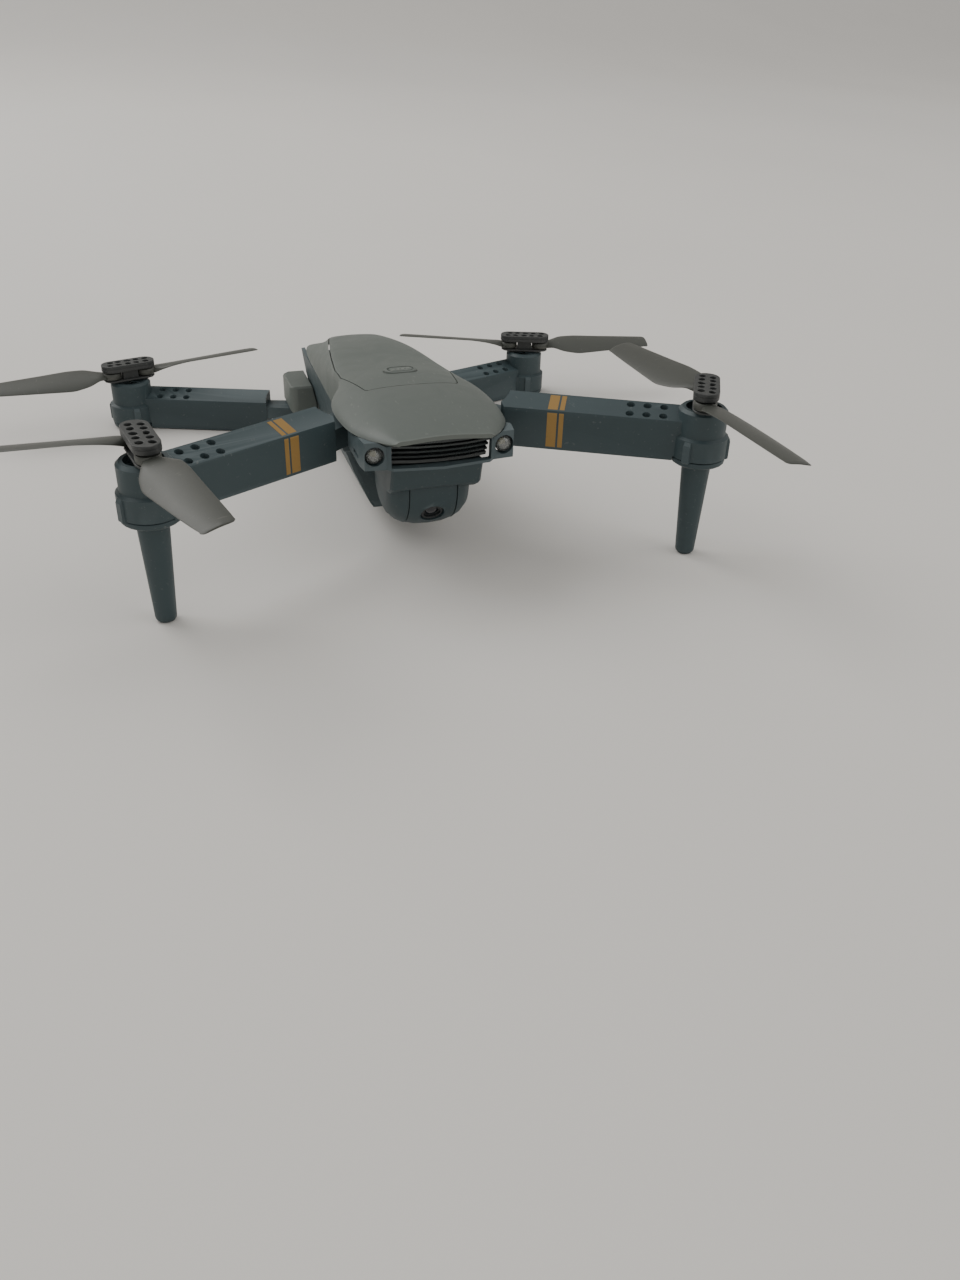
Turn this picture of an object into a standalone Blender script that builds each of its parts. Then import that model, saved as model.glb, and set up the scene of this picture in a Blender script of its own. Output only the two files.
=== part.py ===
"""Foldable palm quadcopter with four folding arms, built as separate parts.

The nose faces -Y, +Z is up and x = 0 is the plane of symmetry. The drone stands
on z = 0, on its two front legs and its two low rear motor pods.
"""
from math import atan2, cos, pi, radians, sin

import bmesh
import bpy
from mathutils import Matrix, Vector

MM = 0.001
GAP = 0.3

# Motor axes (x, y) and heights of the hub tops
FRONT_HUB = (78.5, -51.1)
REAR_HUB = (78.5, 99.5)
FRONT_HUB_TOP = 53.8
REAR_HUB_TOP = 24.3

# Fold axes (x, y) and how far each arm's centre line passes outboard of its axis
FRONT_PIVOT = (18.8, -14.0)
REAR_PIVOT = (18.5, 78.4)
FRONT_OFFSET = 5.0
REAR_OFFSET = 0.0

# Arm section, the tongue that the fold axis goes through, and the clearance disc
ARM_WIDTH = 8.4
ARM_DROP = 2.4
ROOT_RADIUS = 12.8
BOSS_RADIUS = 4.8
TONGUE_INSET = 0.5
PIN_RADIUS = 1.4

# Motor pod, cover, leg and motor
POD_RADIUS = 7.2
SKIRT_RADIUS = 8.2
FRONT_POD_HEIGHT = 17.1
REAR_POD_HEIGHT = 17.6
COVER_HEIGHT = 2.6
LEG_TOP_RADIUS = 4.3
LEG_FOOT_RADIUS = 2.9
MOTOR_RADIUS = 3.5
MOTOR_LENGTH = 11.8
SHAFT_RADIUS = 0.5

# Propeller: heights are below the hub's top
HUB_LENGTH = 19.6
HUB_WIDTH = 7.4
BLADE_PIN = 6.4
CAP_DEPTH = 2.5
LUG_TOP = 3.0
LUG_THICK = 2.2
HUB_DEPTH = 6.3
LUG_RADIUS = 3.3
POST_RADIUS = 0.9
BLADE_SPAN = 45.5

# Camera barrel: a turned body on an axis along X
CAMERA_Y = -28.0
CAMERA_Z = 24.5
CAMERA_RADIUS = 14.6
CAMERA_HALF_WIDTH = 7.0
LENS_ANGLE = 212.0

WALL = 1.3

# Moves the finished drone so that the origin is under the middle of its length
FRAME_SHIFT = -11.1


def clear_scene():
    for old in list(bpy.data.objects):
        bpy.data.objects.remove(old, do_unlink=True)


def make_collection(name):
    collection = bpy.data.collections.new(name)
    bpy.context.scene.collection.children.link(collection)
    return collection


def make_material(name, colour, roughness, metallic=0.0):
    material = bpy.data.materials.new(name)
    material.use_nodes = True
    shader = material.node_tree.nodes["Principled BSDF"]
    shader.inputs["Base Color"].default_value = (*colour, 1.0)
    shader.inputs["Roughness"].default_value = roughness
    shader.inputs["Metallic"].default_value = metallic
    return material


clear_scene()
DRONE = make_collection("palm_drone")
CUTTERS = make_collection("cutters")
MATERIALS = {
    "top_shell": make_material("top_shell", (0.17, 0.20, 0.18), 0.55),
    "hull": make_material("hull", (0.07, 0.11, 0.12), 0.55),
    "prop": make_material("prop", (0.22, 0.22, 0.20), 0.5),
    "hub": make_material("hub", (0.05, 0.055, 0.055), 0.5),
    "dark_trim": make_material("dark_trim", (0.02, 0.025, 0.03), 0.4),
    "lens": make_material("lens", (0.02, 0.02, 0.025), 0.08),
    "motor": make_material("motor", (0.6, 0.6, 0.6), 0.3, 1.0),
    "steel": make_material("steel", (0.6, 0.6, 0.6), 0.25, 1.0),
    "board": make_material("board", (0.02, 0.12, 0.05), 0.5),
    "cell": make_material("cell", (0.35, 0.36, 0.4), 0.35, 0.6),
}


def mm(*values):
    return Vector([value * MM for value in values])


def add_object(name, mesh, material=None, location=(0, 0, 0)):
    part = bpy.data.objects.new(name, mesh)
    part.location = mm(*location)
    if material is None:
        CUTTERS.objects.link(part)
        part.hide_render = True
        part.display_type = "WIRE"
    else:
        DRONE.objects.link(part)
        mesh.materials.append(MATERIALS[material])
    return part


def mesh_from(shape, name):
    bmesh.ops.recalc_face_normals(shape, faces=shape.faces)
    mesh = bpy.data.meshes.new(name)
    shape.to_mesh(mesh)
    shape.free()
    return mesh


def box(name, low, high, material=None, bevel=0.0):
    """An axis-aligned box between two corners, with rounded edges if asked."""
    shape = bmesh.new()
    bmesh.ops.create_cube(shape, size=1.0)
    size = [b - a for a, b in zip(low, high)]
    bmesh.ops.scale(shape, vec=mm(*size), verts=shape.verts)
    middle = [(a + b) / 2 for a, b in zip(low, high)]
    part = add_object(name, mesh_from(shape, name), material, middle)
    if bevel:
        round_edges(part, bevel)
    return part


def cylinder(name, radius, low, high, centre, material=None, sides=20, axis="Z"):
    """A cylinder from low to high along an axis through centre."""
    shape = bmesh.new()
    bmesh.ops.create_cone(shape, cap_ends=True, segments=sides, radius1=radius * MM,
                          radius2=radius * MM, depth=(high - low) * MM)
    middle = (low + high) / 2
    part = add_object(name, mesh_from(shape, name), material, (*centre[:2], middle))
    if axis == "X":
        part.location = mm(middle, *centre[:2])
        part.rotation_euler = (0, pi / 2, 0)
    return part


def prism(name, outline, low, high, material=None):
    """A flat outline in X and Y, extruded from low to high."""
    curve = bpy.data.curves.new(name, "CURVE")
    curve.dimensions = "2D"
    curve.fill_mode = "BOTH"
    curve.extrude = (high - low) / 2 * MM
    spline = curve.splines.new("POLY")
    spline.points.add(len(outline) - 1)
    for point, (x, y) in zip(spline.points, outline):
        point.co = (x * MM, y * MM, 0.0, 1.0)
    spline.use_cyclic_u = True
    guide = bpy.data.objects.new(name + "_outline", curve)
    DRONE.objects.link(guide)
    bpy.context.view_layer.update()
    evaluated = guide.evaluated_get(bpy.context.evaluated_depsgraph_get())
    mesh = bpy.data.meshes.new_from_object(evaluated)
    bpy.data.objects.remove(guide)
    shape = bmesh.new()
    shape.from_mesh(mesh)
    bmesh.ops.remove_doubles(shape, verts=shape.verts, dist=0.00001)
    bmesh.ops.translate(shape, vec=mm(0, 0, (low + high) / 2), verts=shape.verts)
    bmesh.ops.recalc_face_normals(shape, faces=shape.faces)
    shape.to_mesh(mesh)
    shape.free()
    mesh.materials.clear()
    return add_object(name, mesh, material)


def turned(name, profile, centre, material=None, steps=24, axis="Z"):
    """A closed body turned from (radius, height) points, top to bottom on the outside."""
    shape = bmesh.new()
    points = [shape.verts.new(mm(radius, 0, height)) for radius, height in profile]
    for first, second in zip(points, points[1:]):
        shape.edges.new((first, second))
    if profile[0][0] > 0:
        shape.edges.new((points[-1], points[0]))
    mesh = bpy.data.meshes.new(name)
    shape.to_mesh(mesh)
    shape.free()
    part = add_object(name, mesh, material, centre)
    screw = part.modifiers.new("turn", "SCREW")
    screw.steps = steps
    screw.render_steps = steps
    screw.use_merge_vertices = True
    screw.merge_threshold = 0.00001
    screw.use_smooth_shade = True
    if axis == "X":
        part.rotation_euler = (0, pi / 2, 0)
    return part


def loft(name, sections, material=None, closed_ring=True):
    """Faces between rows of points; capped at both ends when the rows are rings."""
    shape = bmesh.new()
    rows = [[shape.verts.new(mm(*point)) for point in section] for section in sections]
    count = len(rows[0])
    last = count if closed_ring else count - 1
    for row, following in zip(rows, rows[1:]):
        for index in range(last):
            after = (index + 1) % count
            shape.faces.new((row[index], row[after], following[after], following[index]))
    if closed_ring:
        shape.faces.new(rows[0])
        shape.faces.new(rows[-1])
    return add_object(name, mesh_from(shape, name), material)


def round_edges(part, width, segments=1, angle=40):
    bevel = part.modifiers.new("round", "BEVEL")
    bevel.width = width * MM
    bevel.segments = segments
    bevel.limit_method = "ANGLE"
    bevel.angle_limit = radians(angle)
    return bevel


def boolean(part, other, operation):
    step = part.modifiers.new(operation.lower(), "BOOLEAN")
    step.operation = operation
    step.object = other
    return step


def cut(part, *cutters):
    for cutter in cutters:
        boolean(part, cutter, "DIFFERENCE")


def apply_modifiers(part):
    """Keep the evaluated mesh, in the part's own frame, in place of its modifiers."""
    bpy.context.view_layer.update()
    evaluated = part.evaluated_get(bpy.context.evaluated_depsgraph_get())
    mesh = bpy.data.meshes.new_from_object(evaluated)
    part.modifiers.clear()
    part.data = mesh
    return part


def join(part, *others):
    """Unite other solids with a part; the others are removed afterwards."""
    for other in others:
        boolean(part, other, "UNION")
    apply_modifiers(part)
    for other in others:
        bpy.data.objects.remove(other)
    return part


def stadium(length, width, sides=5):
    """A slot-shaped outline with its long axis on X."""
    radius = width / 2
    reach = length / 2 - radius
    points = []
    for centre, start in ((reach, -90), (-reach, 90)):
        for step in range(sides + 1):
            turn = radians(start + 180 * step / sides)
            points.append((centre + radius * cos(turn), radius * sin(turn)))
    return points


def turn_outline(outline, angle, centre):
    """Rotate outline points by an angle in radians and move them to a centre."""
    return [(centre[0] + x * cos(angle) - y * sin(angle),
             centre[1] + x * sin(angle) + y * cos(angle)) for x, y in outline]


def mirrored(part, name):
    """Turn a right-hand part into its left-hand twin."""
    apply_modifiers(part)
    mesh = part.data
    flip = Matrix.Diagonal((-1, 1, 1, 1)) @ part.matrix_world
    mesh.transform(flip)
    mesh.flip_normals()
    part.matrix_world = Matrix.Identity(4)
    part.name = name
    return part


def move_origin(part, point):
    """Put a part's origin on a point, leaving its shape where it is."""
    apply_modifiers(part)
    bpy.context.view_layer.update()
    part.data.transform(Matrix.Translation(-mm(*point)) @ part.matrix_world)
    part.matrix_world = Matrix.Translation(mm(*point))


def hang(part, parent):
    bpy.context.view_layer.update()
    place = part.matrix_world.copy()
    part.parent = parent
    part.matrix_parent_inverse = parent.matrix_world.inverted()
    part.matrix_world = place


def axis_empty(name, point):
    empty = bpy.data.objects.new(name, None)
    empty.location = mm(*point)
    DRONE.objects.link(empty)
    bpy.context.view_layer.update()
    return empty


# ---------------------------------------------------------------- body shells

# Upper shell, station by station from nose to tail:
# y, panel edge x and z, crown z, shoulder x and z, lip x and z
SHELL_STATIONS = (
    (-53.0, 11.0, 45.6, 46.4, 13.6, 45.3, 14.2, 44.7),
    (-46.0, 13.5, 46.4, 47.5, 17.8, 44.9, 18.8, 43.6),
    (-38.0, 14.0, 47.3, 48.4, 21.8, 44.5, 22.8, 43.0),
    (-27.0, 14.0, 48.0, 49.1, 23.0, 44.3, 24.0, 42.6),
    (-17.5, 13.8, 48.2, 49.4, 23.2, 44.2, 24.1, 42.4),
    (-8.0, 15.8, 47.0, 49.0, 22.0, 44.0, 22.8, 42.4),
    (-1.0, 17.0, 45.8, 48.3, 18.6, 43.6, 18.8, 42.0),
    (5.0, 17.2, 45.1, 47.5, 17.8, 42.5, 17.6, 37.0),
    (14.0, 16.8, 44.4, 46.3, 17.4, 42.0, 17.3, 31.2),
    (30.0, 15.2, 43.6, 44.9, 16.8, 40.5, 16.9, 31.2),
    (44.0, 13.2, 42.4, 43.5, 16.4, 38.8, 16.7, 31.2),
    (58.0, 10.6, 40.3, 41.1, 15.8, 36.9, 16.6, 31.2),
    (67.5, 8.8, 38.5, 39.1, 15.2, 35.4, 16.3, 31.2),
    (74.0, 8.4, 35.3, 35.8, 14.2, 33.8, 15.8, 31.2),
    (81.0, 8.0, 32.6, 32.8, 13.0, 32.0, 14.6, 31.2),
)
HUMP_START = 10.0
PANEL_OUTLINE = ((0.0, -19.2), (13.4, -18.0), (14.2, -16.8), (17.1, 3.0), (16.5, 16.0), (14.9, 30.0),
                 (12.9, 44.0), (10.3, 58.0), (8.6, 66.8), (0.0, 67.6))
BUTTON_CENTRE = (0.0, -3.5)


def shell_section(y, panel_x, panel_z, crown_z, shoulder_x, shoulder_z, lip_x, lip_z):
    """Points of one cross-section of the upper shell, from the left lip to the right one."""
    soft_x = panel_x * 0.6
    soft_z = crown_z - (crown_z - panel_z) * 0.35
    if y > HUMP_START:
        foot = (panel_x + 0.35, max(shoulder_z + 0.2, panel_z - 2.0))
    else:
        foot = ((panel_x + shoulder_x) / 2, (panel_z + shoulder_z) / 2 + 0.35)
    half = [(lip_x, lip_z), (shoulder_x, shoulder_z), foot, (panel_x, panel_z), (soft_x, soft_z)]
    left = [(-x, y, z) for x, z in half]
    right = [(x, y, z) for x, z in reversed(half)]
    return left + [(0.0, y, crown_z)] + right


def shell_skin(name, material):
    skin = loft(name, [shell_section(*station) for station in SHELL_STATIONS], material, closed_ring=False)
    for face in skin.data.polygons:
        face.use_smooth = True
    smooth = skin.modifiers.new("soften", "SUBSURF")
    smooth.levels = 1
    smooth.render_levels = 1
    thick = skin.modifiers.new("wall", "SOLIDIFY")
    thick.thickness = WALL * MM
    thick.offset = -1.0
    return skin


def scale_outline(outline, amount):
    """Move an outline's points towards or away from the Y axis and its middle by an amount."""
    middle_y = (outline[0][1] + outline[-1][1]) / 2
    half = (outline[-1][1] - outline[0][1]) / 2
    grown = []
    for x, y in outline:
        side = x + amount if x > 0 else 0.0
        grown.append((side, middle_y + (y - middle_y) * (half + amount) / half))
    return grown


def both_sides(half_outline):
    """Close a right-hand outline that starts and ends on x = 0 with its mirror image."""
    left = [(-x, y) for x, y in reversed(half_outline) if x > 0]
    return list(half_outline) + left


def shell_clearance(name, drop=0.0):
    """A cutter that follows the upper shell with a gap on both of its faces, lowered by drop."""
    cutter = loft(name, [shell_section(*station) for station in SHELL_STATIONS], closed_ring=False)
    smooth = cutter.modifiers.new("soften", "SUBSURF")
    smooth.levels = 1
    smooth.render_levels = 1
    thick = cutter.modifiers.new("wall", "SOLIDIFY")
    thick.thickness = 2 * (WALL + 2 * GAP) * MM
    thick.offset = 0.0
    cutter.location = mm(0, 0, -drop)
    return cutter


def make_top():
    shell = shell_skin("upper_shell", "top_shell")
    opening = prism("panel_opening", both_sides(scale_outline(PANEL_OUTLINE, GAP / 2)), 30, 60)
    cut(shell, opening)
    apply_modifiers(shell)
    panel = shell_skin("top_panel", "top_shell")
    panel_plan = both_sides(scale_outline(PANEL_OUTLINE, -GAP / 2))
    boolean(panel, prism("panel_edge", panel_plan, 30, 60), "INTERSECT")
    hole = turn_outline(stadium(10.8, 6.8), 0.0, BUTTON_CENTRE)
    cut(panel, prism("button_hole", hole, 40, 60))
    apply_modifiers(panel)
    cap = turn_outline(stadium(10.0, 6.0), 0.0, BUTTON_CENTRE)
    button = prism("power_button", cap, 45.4, 48.9, "top_shell")
    round_edges(button, 0.35)
    move_origin(button, (BUTTON_CENTRE[0], BUTTON_CENTRE[1], 47.0))


# y, top x, side x half-way down, bottom x, belly z
HULL_STATIONS = (
    (-13.2, 20.6, 17.4, 11.6, 8.4),
    (-3.0, 19.0, 16.6, 11.6, 8.0),
    (8.0, 16.9, 15.4, 11.6, 8.0),
    (40.0, 16.5, 15.2, 11.6, 8.0),
    (82.0, 16.3, 15.0, 11.6, 8.0),
)
HULL_TOP = 30.5


def hull_section(y, top_x, side_x, bottom_x, belly_z):
    half = [(top_x, HULL_TOP), (side_x, 21.0), (bottom_x + 1.2, belly_z + 2.0), (bottom_x, belly_z)]
    left = [(-x, y, z) for x, z in half]
    right = [(x, y, z) for x, z in reversed(half)]
    return left + [(0.0, y, belly_z)] + right


def make_hull():
    sections = [hull_section(*station) for station in HULL_STATIONS]
    hull = loft("lower_hull", sections, "hull", closed_ring=False)
    thick = hull.modifiers.new("wall", "SOLIDIFY")
    thick.thickness = WALL * MM
    thick.offset = -1.0
    y, top_x, side_x, bottom_x, belly_z = HULL_STATIONS[0]
    inset = (top_x - 0.6, side_x - 0.6, bottom_x - 0.5, belly_z + 0.5)
    bulkhead = loft("bulkhead", [hull_section(level, *inset) for level in (y, y + WALL)])
    join(hull, bulkhead)
    round_edges(hull, 0.4, 1, 60)
    vents = [box(f"belly_vent_{index}", (-6.0, 4.0 + 5 * index, 5), (6.0, 6.0 + 5 * index, 12))
             for index in range(4)]
    cut(hull, *vents)
    return hull


def make_rear_block():
    x, y = REAR_PIVOT
    outline = [(13.2, y + 9.4), (21.5, y + 9.4), (23.4, y + 7.4), (23.4, y - 8.4), (21.5, y - 10.4),
               (13.2, y - 10.4)]
    block = prism("rear_hinge_block_right", outline, 10.3, 20.4, "top_shell")
    round_edges(block, 0.8)
    wedge = loft("hull_clearance", [
        [(0, y_end, 3.0), (12.4, y_end, 3.0), (13.2, y_end, 10.3), (15.5, y_end, 21.3), (16.8, y_end, 30.0),
         (0, y_end, 30.0)] for y_end in (y - 20, y + 20)])
    cut(block, wedge)
    cut(block, cylinder("rear_pin_hole", PIN_RADIUS + GAP, 5, 18.4, REAR_PIVOT, sides=24))
    return block


def make_front_bracket():
    x, y = FRONT_PIVOT
    bracket = box("front_hinge_bracket_right", (10.2, y - 7.5, 30.95), (22.0, y + 7.0, 44.2), "hull", 0.5)
    slot = box("tongue_slot", (13.4, y - 12, 33.0), (30, y + 12, 40.1))
    cut(bracket, slot)
    cut(bracket, shell_clearance("bracket_roof"))
    cut(bracket, cylinder("front_pin_hole", PIN_RADIUS + GAP, 28, 41.2, FRONT_PIVOT, sides=24))
    return bracket


def pair(maker):
    """Build a right-hand part and its left-hand twin."""
    right = maker()
    apply_modifiers(right)
    left_name = right.name.replace("right", "left")
    twin = bpy.data.objects.new(left_name, right.data.copy())
    DRONE.objects.link(twin)
    bpy.context.view_layer.update()
    twin.matrix_world = right.matrix_world.copy()
    bpy.context.view_layer.update()
    mirrored(twin, left_name)
    return right, twin


# ---------------------------------------------------------------- nose

GRILLE_TOP = 44.0
GRILLE_BOTTOM = 36.6
GRILLE_LEAN = 0.5


def nose_plan(inset):
    """Outline of the nose band in plan; the inset shrinks it towards the inside."""
    return ((0.0, -51.6 + inset), (13.9, -50.0 + inset), (15.4, -48.4 + inset), (21.4 - inset, -47.8 + inset),
            (22.0 - inset, -44.0), (22.0 - inset, -29.0))


def lean(part):
    """Shear a part so that its lower front sits further back."""
    apply_modifiers(part)
    for vertex in part.data.vertices:
        point = part.matrix_world @ vertex.co
        vertex.co.y += (GRILLE_TOP * MM - point.z) * GRILLE_LEAN
    return part


def make_nose():
    outer = list(nose_plan(0.0))
    inner = list(reversed(nose_plan(2.2)))
    half = outer + inner
    band = prism("nose_bezel", both_band(half), 36.0, 44.0, "hull")
    cut(band, box("grille_opening", (-14.3, -60, 36.8), (14.3, -40, 50)))
    apply_modifiers(band)
    for side in (-1, 1):
        cut(band, cylinder(f"lamp_recess_{side}", 2.75, -49.0, -45.6, (0, 0), sides=28))
        recess = bpy.data.objects[f"lamp_recess_{side}"]
        recess.rotation_euler = (pi / 2, 0, 0)
        recess.location = mm(side * 18.6, -47.6, 40.0)
    vents = [box(f"side_vent_{side}", (side * 22 - 1.0, -42.5, 37.4), (side * 22 + 1.0, -36.5, 38.6))
             for side in (-1, 1)]
    cut(band, *vents)
    cut(band, shell_clearance("bezel_roof"), shell_clearance("bezel_roof_low", 0.35))
    return band


def both_band(half):
    """Close the right half of a band outline, outer side then inner side, with its mirror image."""
    count = len(half) // 2
    outer = half[:count]
    inner = half[count:]
    left_outer = [(-x, y) for x, y in reversed(outer) if x > 0]
    left_inner = [(-x, y) for x, y in reversed(inner) if x > 0]
    return outer[1:] + inner + left_inner + left_outer + outer[:1]


def make_grille():
    slat_count = 4
    pitch = (GRILLE_TOP - GRILLE_BOTTOM) / slat_count
    plan = [(-13.8, -49.6), (-7.0, -51.0), (0.0, -51.4), (7.0, -51.0), (13.8, -49.6), (13.8, -47.2),
            (-13.8, -47.2)]
    back = box("front_grille", (-13.8, -48.0, GRILLE_BOTTOM + 0.6), (13.8, -46.4, 44.0), "dark_trim")
    slats = []
    for index in range(slat_count + 1):
        level = GRILLE_BOTTOM + 0.6 + pitch * index * 0.93
        height = 1.1 if index in (0, slat_count) else 0.7
        slats.append(prism(f"slat_{index}", plan, level - height / 2 + 0.1, level + height / 2 + 0.1))
    join(back, *slats)
    lean(back)
    cut(back, shell_clearance("grille_roof"))
    return back


def make_lamp():
    profile = [(0.0, 1.6), (0.9, 1.45), (1.7, 1.0), (2.3, 0.2), (2.4, -0.8), (0.0, -0.8)]
    lamp = turned("headlamp_right", profile, (18.6, -46.8, 40.0), "lens", 24)
    lamp.rotation_euler = (pi / 2, 0, 0)
    return lamp


# ---------------------------------------------------------------- camera

BOWL = ((0.0, 14.6), (4.0, 14.35), (7.0, 13.6), (9.5, 12.3), (11.6, 10.2), (12.6, 7.6))


def camera_profile(half_width):
    """Half of the bowl's outline up to a half width: (distance along X, radius)."""
    points = [(x, radius) for x, radius in BOWL if x <= half_width]
    return points


def barrel_profile(half_width, shrink=0.0):
    side = [(x, radius - shrink) for x, radius in camera_profile(half_width)]
    ends = side[-1][0]
    left = [(-x, radius) for x, radius in reversed(side) if x > 0]
    outline = [(-ends, 0.0)] + left + side + [(ends, 0.0)]
    return [(radius, -x) for x, radius in outline]


def make_camera():
    centre = (0, CAMERA_Y, CAMERA_Z)
    barrel = turned("camera_barrel", barrel_profile(CAMERA_HALF_WIDTH, 0.2), centre, "hull", 36, "X")
    apply_modifiers(barrel)
    direction = radians(LENS_ANGLE)
    aim = Vector((0, cos(direction), sin(direction)))
    turn = aim.to_track_quat("Z", "X").to_euler()
    seat = cylinder("lens_seat", 3.6, 10.9, 17.0, (0, 0), sides=32)
    seat.rotation_euler = turn
    seat.location = mm(0, CAMERA_Y, CAMERA_Z) + aim * 14.0 * MM
    cut(barrel, seat)
    cut(barrel, cylinder("barrel_bore", 1.5 + GAP, -9, 9, (CAMERA_Y, CAMERA_Z), sides=24, axis="X"))
    move_origin(barrel, (0, CAMERA_Y, CAMERA_Z))
    lens_profile = [(0.0, 13.3), (1.2, 13.2), (1.7, 12.8), (2.2, 12.8), (2.5, 13.6), (3.2, 13.6), (3.3, 13.3),
                    (3.3, 11.3), (0.0, 11.3)]
    lens = turned("camera_lens", lens_profile, (0, CAMERA_Y, CAMERA_Z), "lens", 32)
    lens.rotation_euler = turn
    move_origin(lens, (0, CAMERA_Y, CAMERA_Z))
    axle = cylinder("camera_axle", 1.5, -11.6, 11.6, (CAMERA_Y, CAMERA_Z), "steel", 24, "X")
    return barrel, lens, axle


def make_chin():
    side_profile = [(-46.4, 35.6), (-44.0, 27.4), (-40.0, 25.0), (-34.0, 24.5), (-20.0, 24.5), (-13.6, 20.0),
                    (-13.6, 30.4), (-22.2, 30.4), (-22.2, 35.6)]
    chin = loft("chin_fairing", [[(x, y, z) for y, z in side_profile] for x in (-13.4, 13.4)], "hull")
    round_edges(chin, 0.7)
    bowl = turned("bowl", barrel_profile(13.0), (0, CAMERA_Y, CAMERA_Z), steps=36, axis="X")
    join(chin, apply_modifiers(bowl))
    room = cylinder("camera_room", 15.2, -7.3, 7.3, (CAMERA_Y, CAMERA_Z), sides=36, axis="X")
    cut(chin, room)
    cut(chin, box("rear_room", (-20, -13.5, 0), (20, -5, 40)))
    cut(chin, box("bracket_room", (-20, -22.2, 30.5), (20, -5, 40)))
    cut(chin, cylinder("axle_bore", 1.5 + GAP, -12.0, 12.0, (CAMERA_Y, CAMERA_Z), sides=24, axis="X"))
    return chin


# ---------------------------------------------------------------- electronics

def make_inside():
    board = box("main_board", (-9.2, -12.6, 31.4), (9.2, 40.0, 33.0), "board", 0.2)
    processor = box("processor", (-4, 4, 32.9), (4, 12, 34.4))
    plug = box("battery_plug", (-5, 30, 32.9), (5, 37, 36.4))
    join(board, processor, plug)
    case = box("battery_case", (-10.4, 18.0, 10.6), (10.4, 84.2, 28.6), "hull", 0.8)
    cut(case, box("cell_room", (-9.2, 15.0, 11.8), (9.2, 81.0, 27.4)))
    cut(case, box("grip_left", (-12, 82.9, 15.0), (-7.5, 86, 25.0)))
    cut(case, box("grip_right", (7.5, 82.9, 15.0), (12, 86, 25.0)))
    box("battery_cell", (-8.8, 18.6, 12.2), (8.8, 80.0, 26.8), "cell", 1.0)


# ---------------------------------------------------------------- arms

def arm_frame(pivot, hub, offset):
    """Direction of an arm and the distance from its pivot's foot to the motor axis."""
    reach = Vector((hub[0] - pivot[0], hub[1] - pivot[1]))
    along = (reach.length ** 2 - offset ** 2) ** 0.5
    angle = atan2(reach.y, reach.x) + atan2(offset, along)
    return angle, along


def arm_outline(offset, along):
    """Arm in its own frame: the pivot at the origin, the motor at (along, -offset)."""
    low = -offset - ARM_WIDTH / 2
    high = -offset + ARM_WIDTH / 2
    return [(ROOT_RADIUS - 4.0, low), (along, low), (along, high), (ROOT_RADIUS - 4.0, high)]


def tongue_outline(offset):
    """A round boss on the pivot, tangent to the arm's two edges."""
    reach = ROOT_RADIUS + 4.0
    low = -offset - ARM_WIDTH / 2 + TONGUE_INSET
    high = -offset + ARM_WIDTH / 2 - TONGUE_INSET
    arc = [radians(75 + step * (250 - 75) / 8) for step in range(9)]
    boss = [(BOSS_RADIUS * cos(turn), BOSS_RADIUS * sin(turn)) for turn in arc]
    return boss + [(reach, low), (reach, high)]


def pod_profile(bottom, top):
    """Motor pod in section: chamfered rim, upper cylinder, wider skirt and the motor bore."""
    bore = MOTOR_RADIUS + GAP
    skirt_top = bottom + (top - bottom) * 0.42
    return [(bore + 1.4, top), (POD_RADIUS - 0.9, top), (POD_RADIUS, top - 0.9), (POD_RADIUS, skirt_top + 0.6),
            (SKIRT_RADIUS, skirt_top), (SKIRT_RADIUS, bottom), (bore, bottom), (bore, top - 2.2),
            (bore + 1.4, top - 2.2)]


def slope_top(arm, pivot, angle, arm_top, middle):
    """Lower the front edge of an arm's top, so that the top slopes towards the nose."""
    across = Vector((-sin(angle), cos(angle)))
    for vertex in arm.data.vertices:
        point = vertex.co / MM
        if point.z > arm_top - 1.0 and (point.xy - Vector(pivot)).dot(across) < middle:
            vertex.co.z -= ARM_DROP * MM


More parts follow.
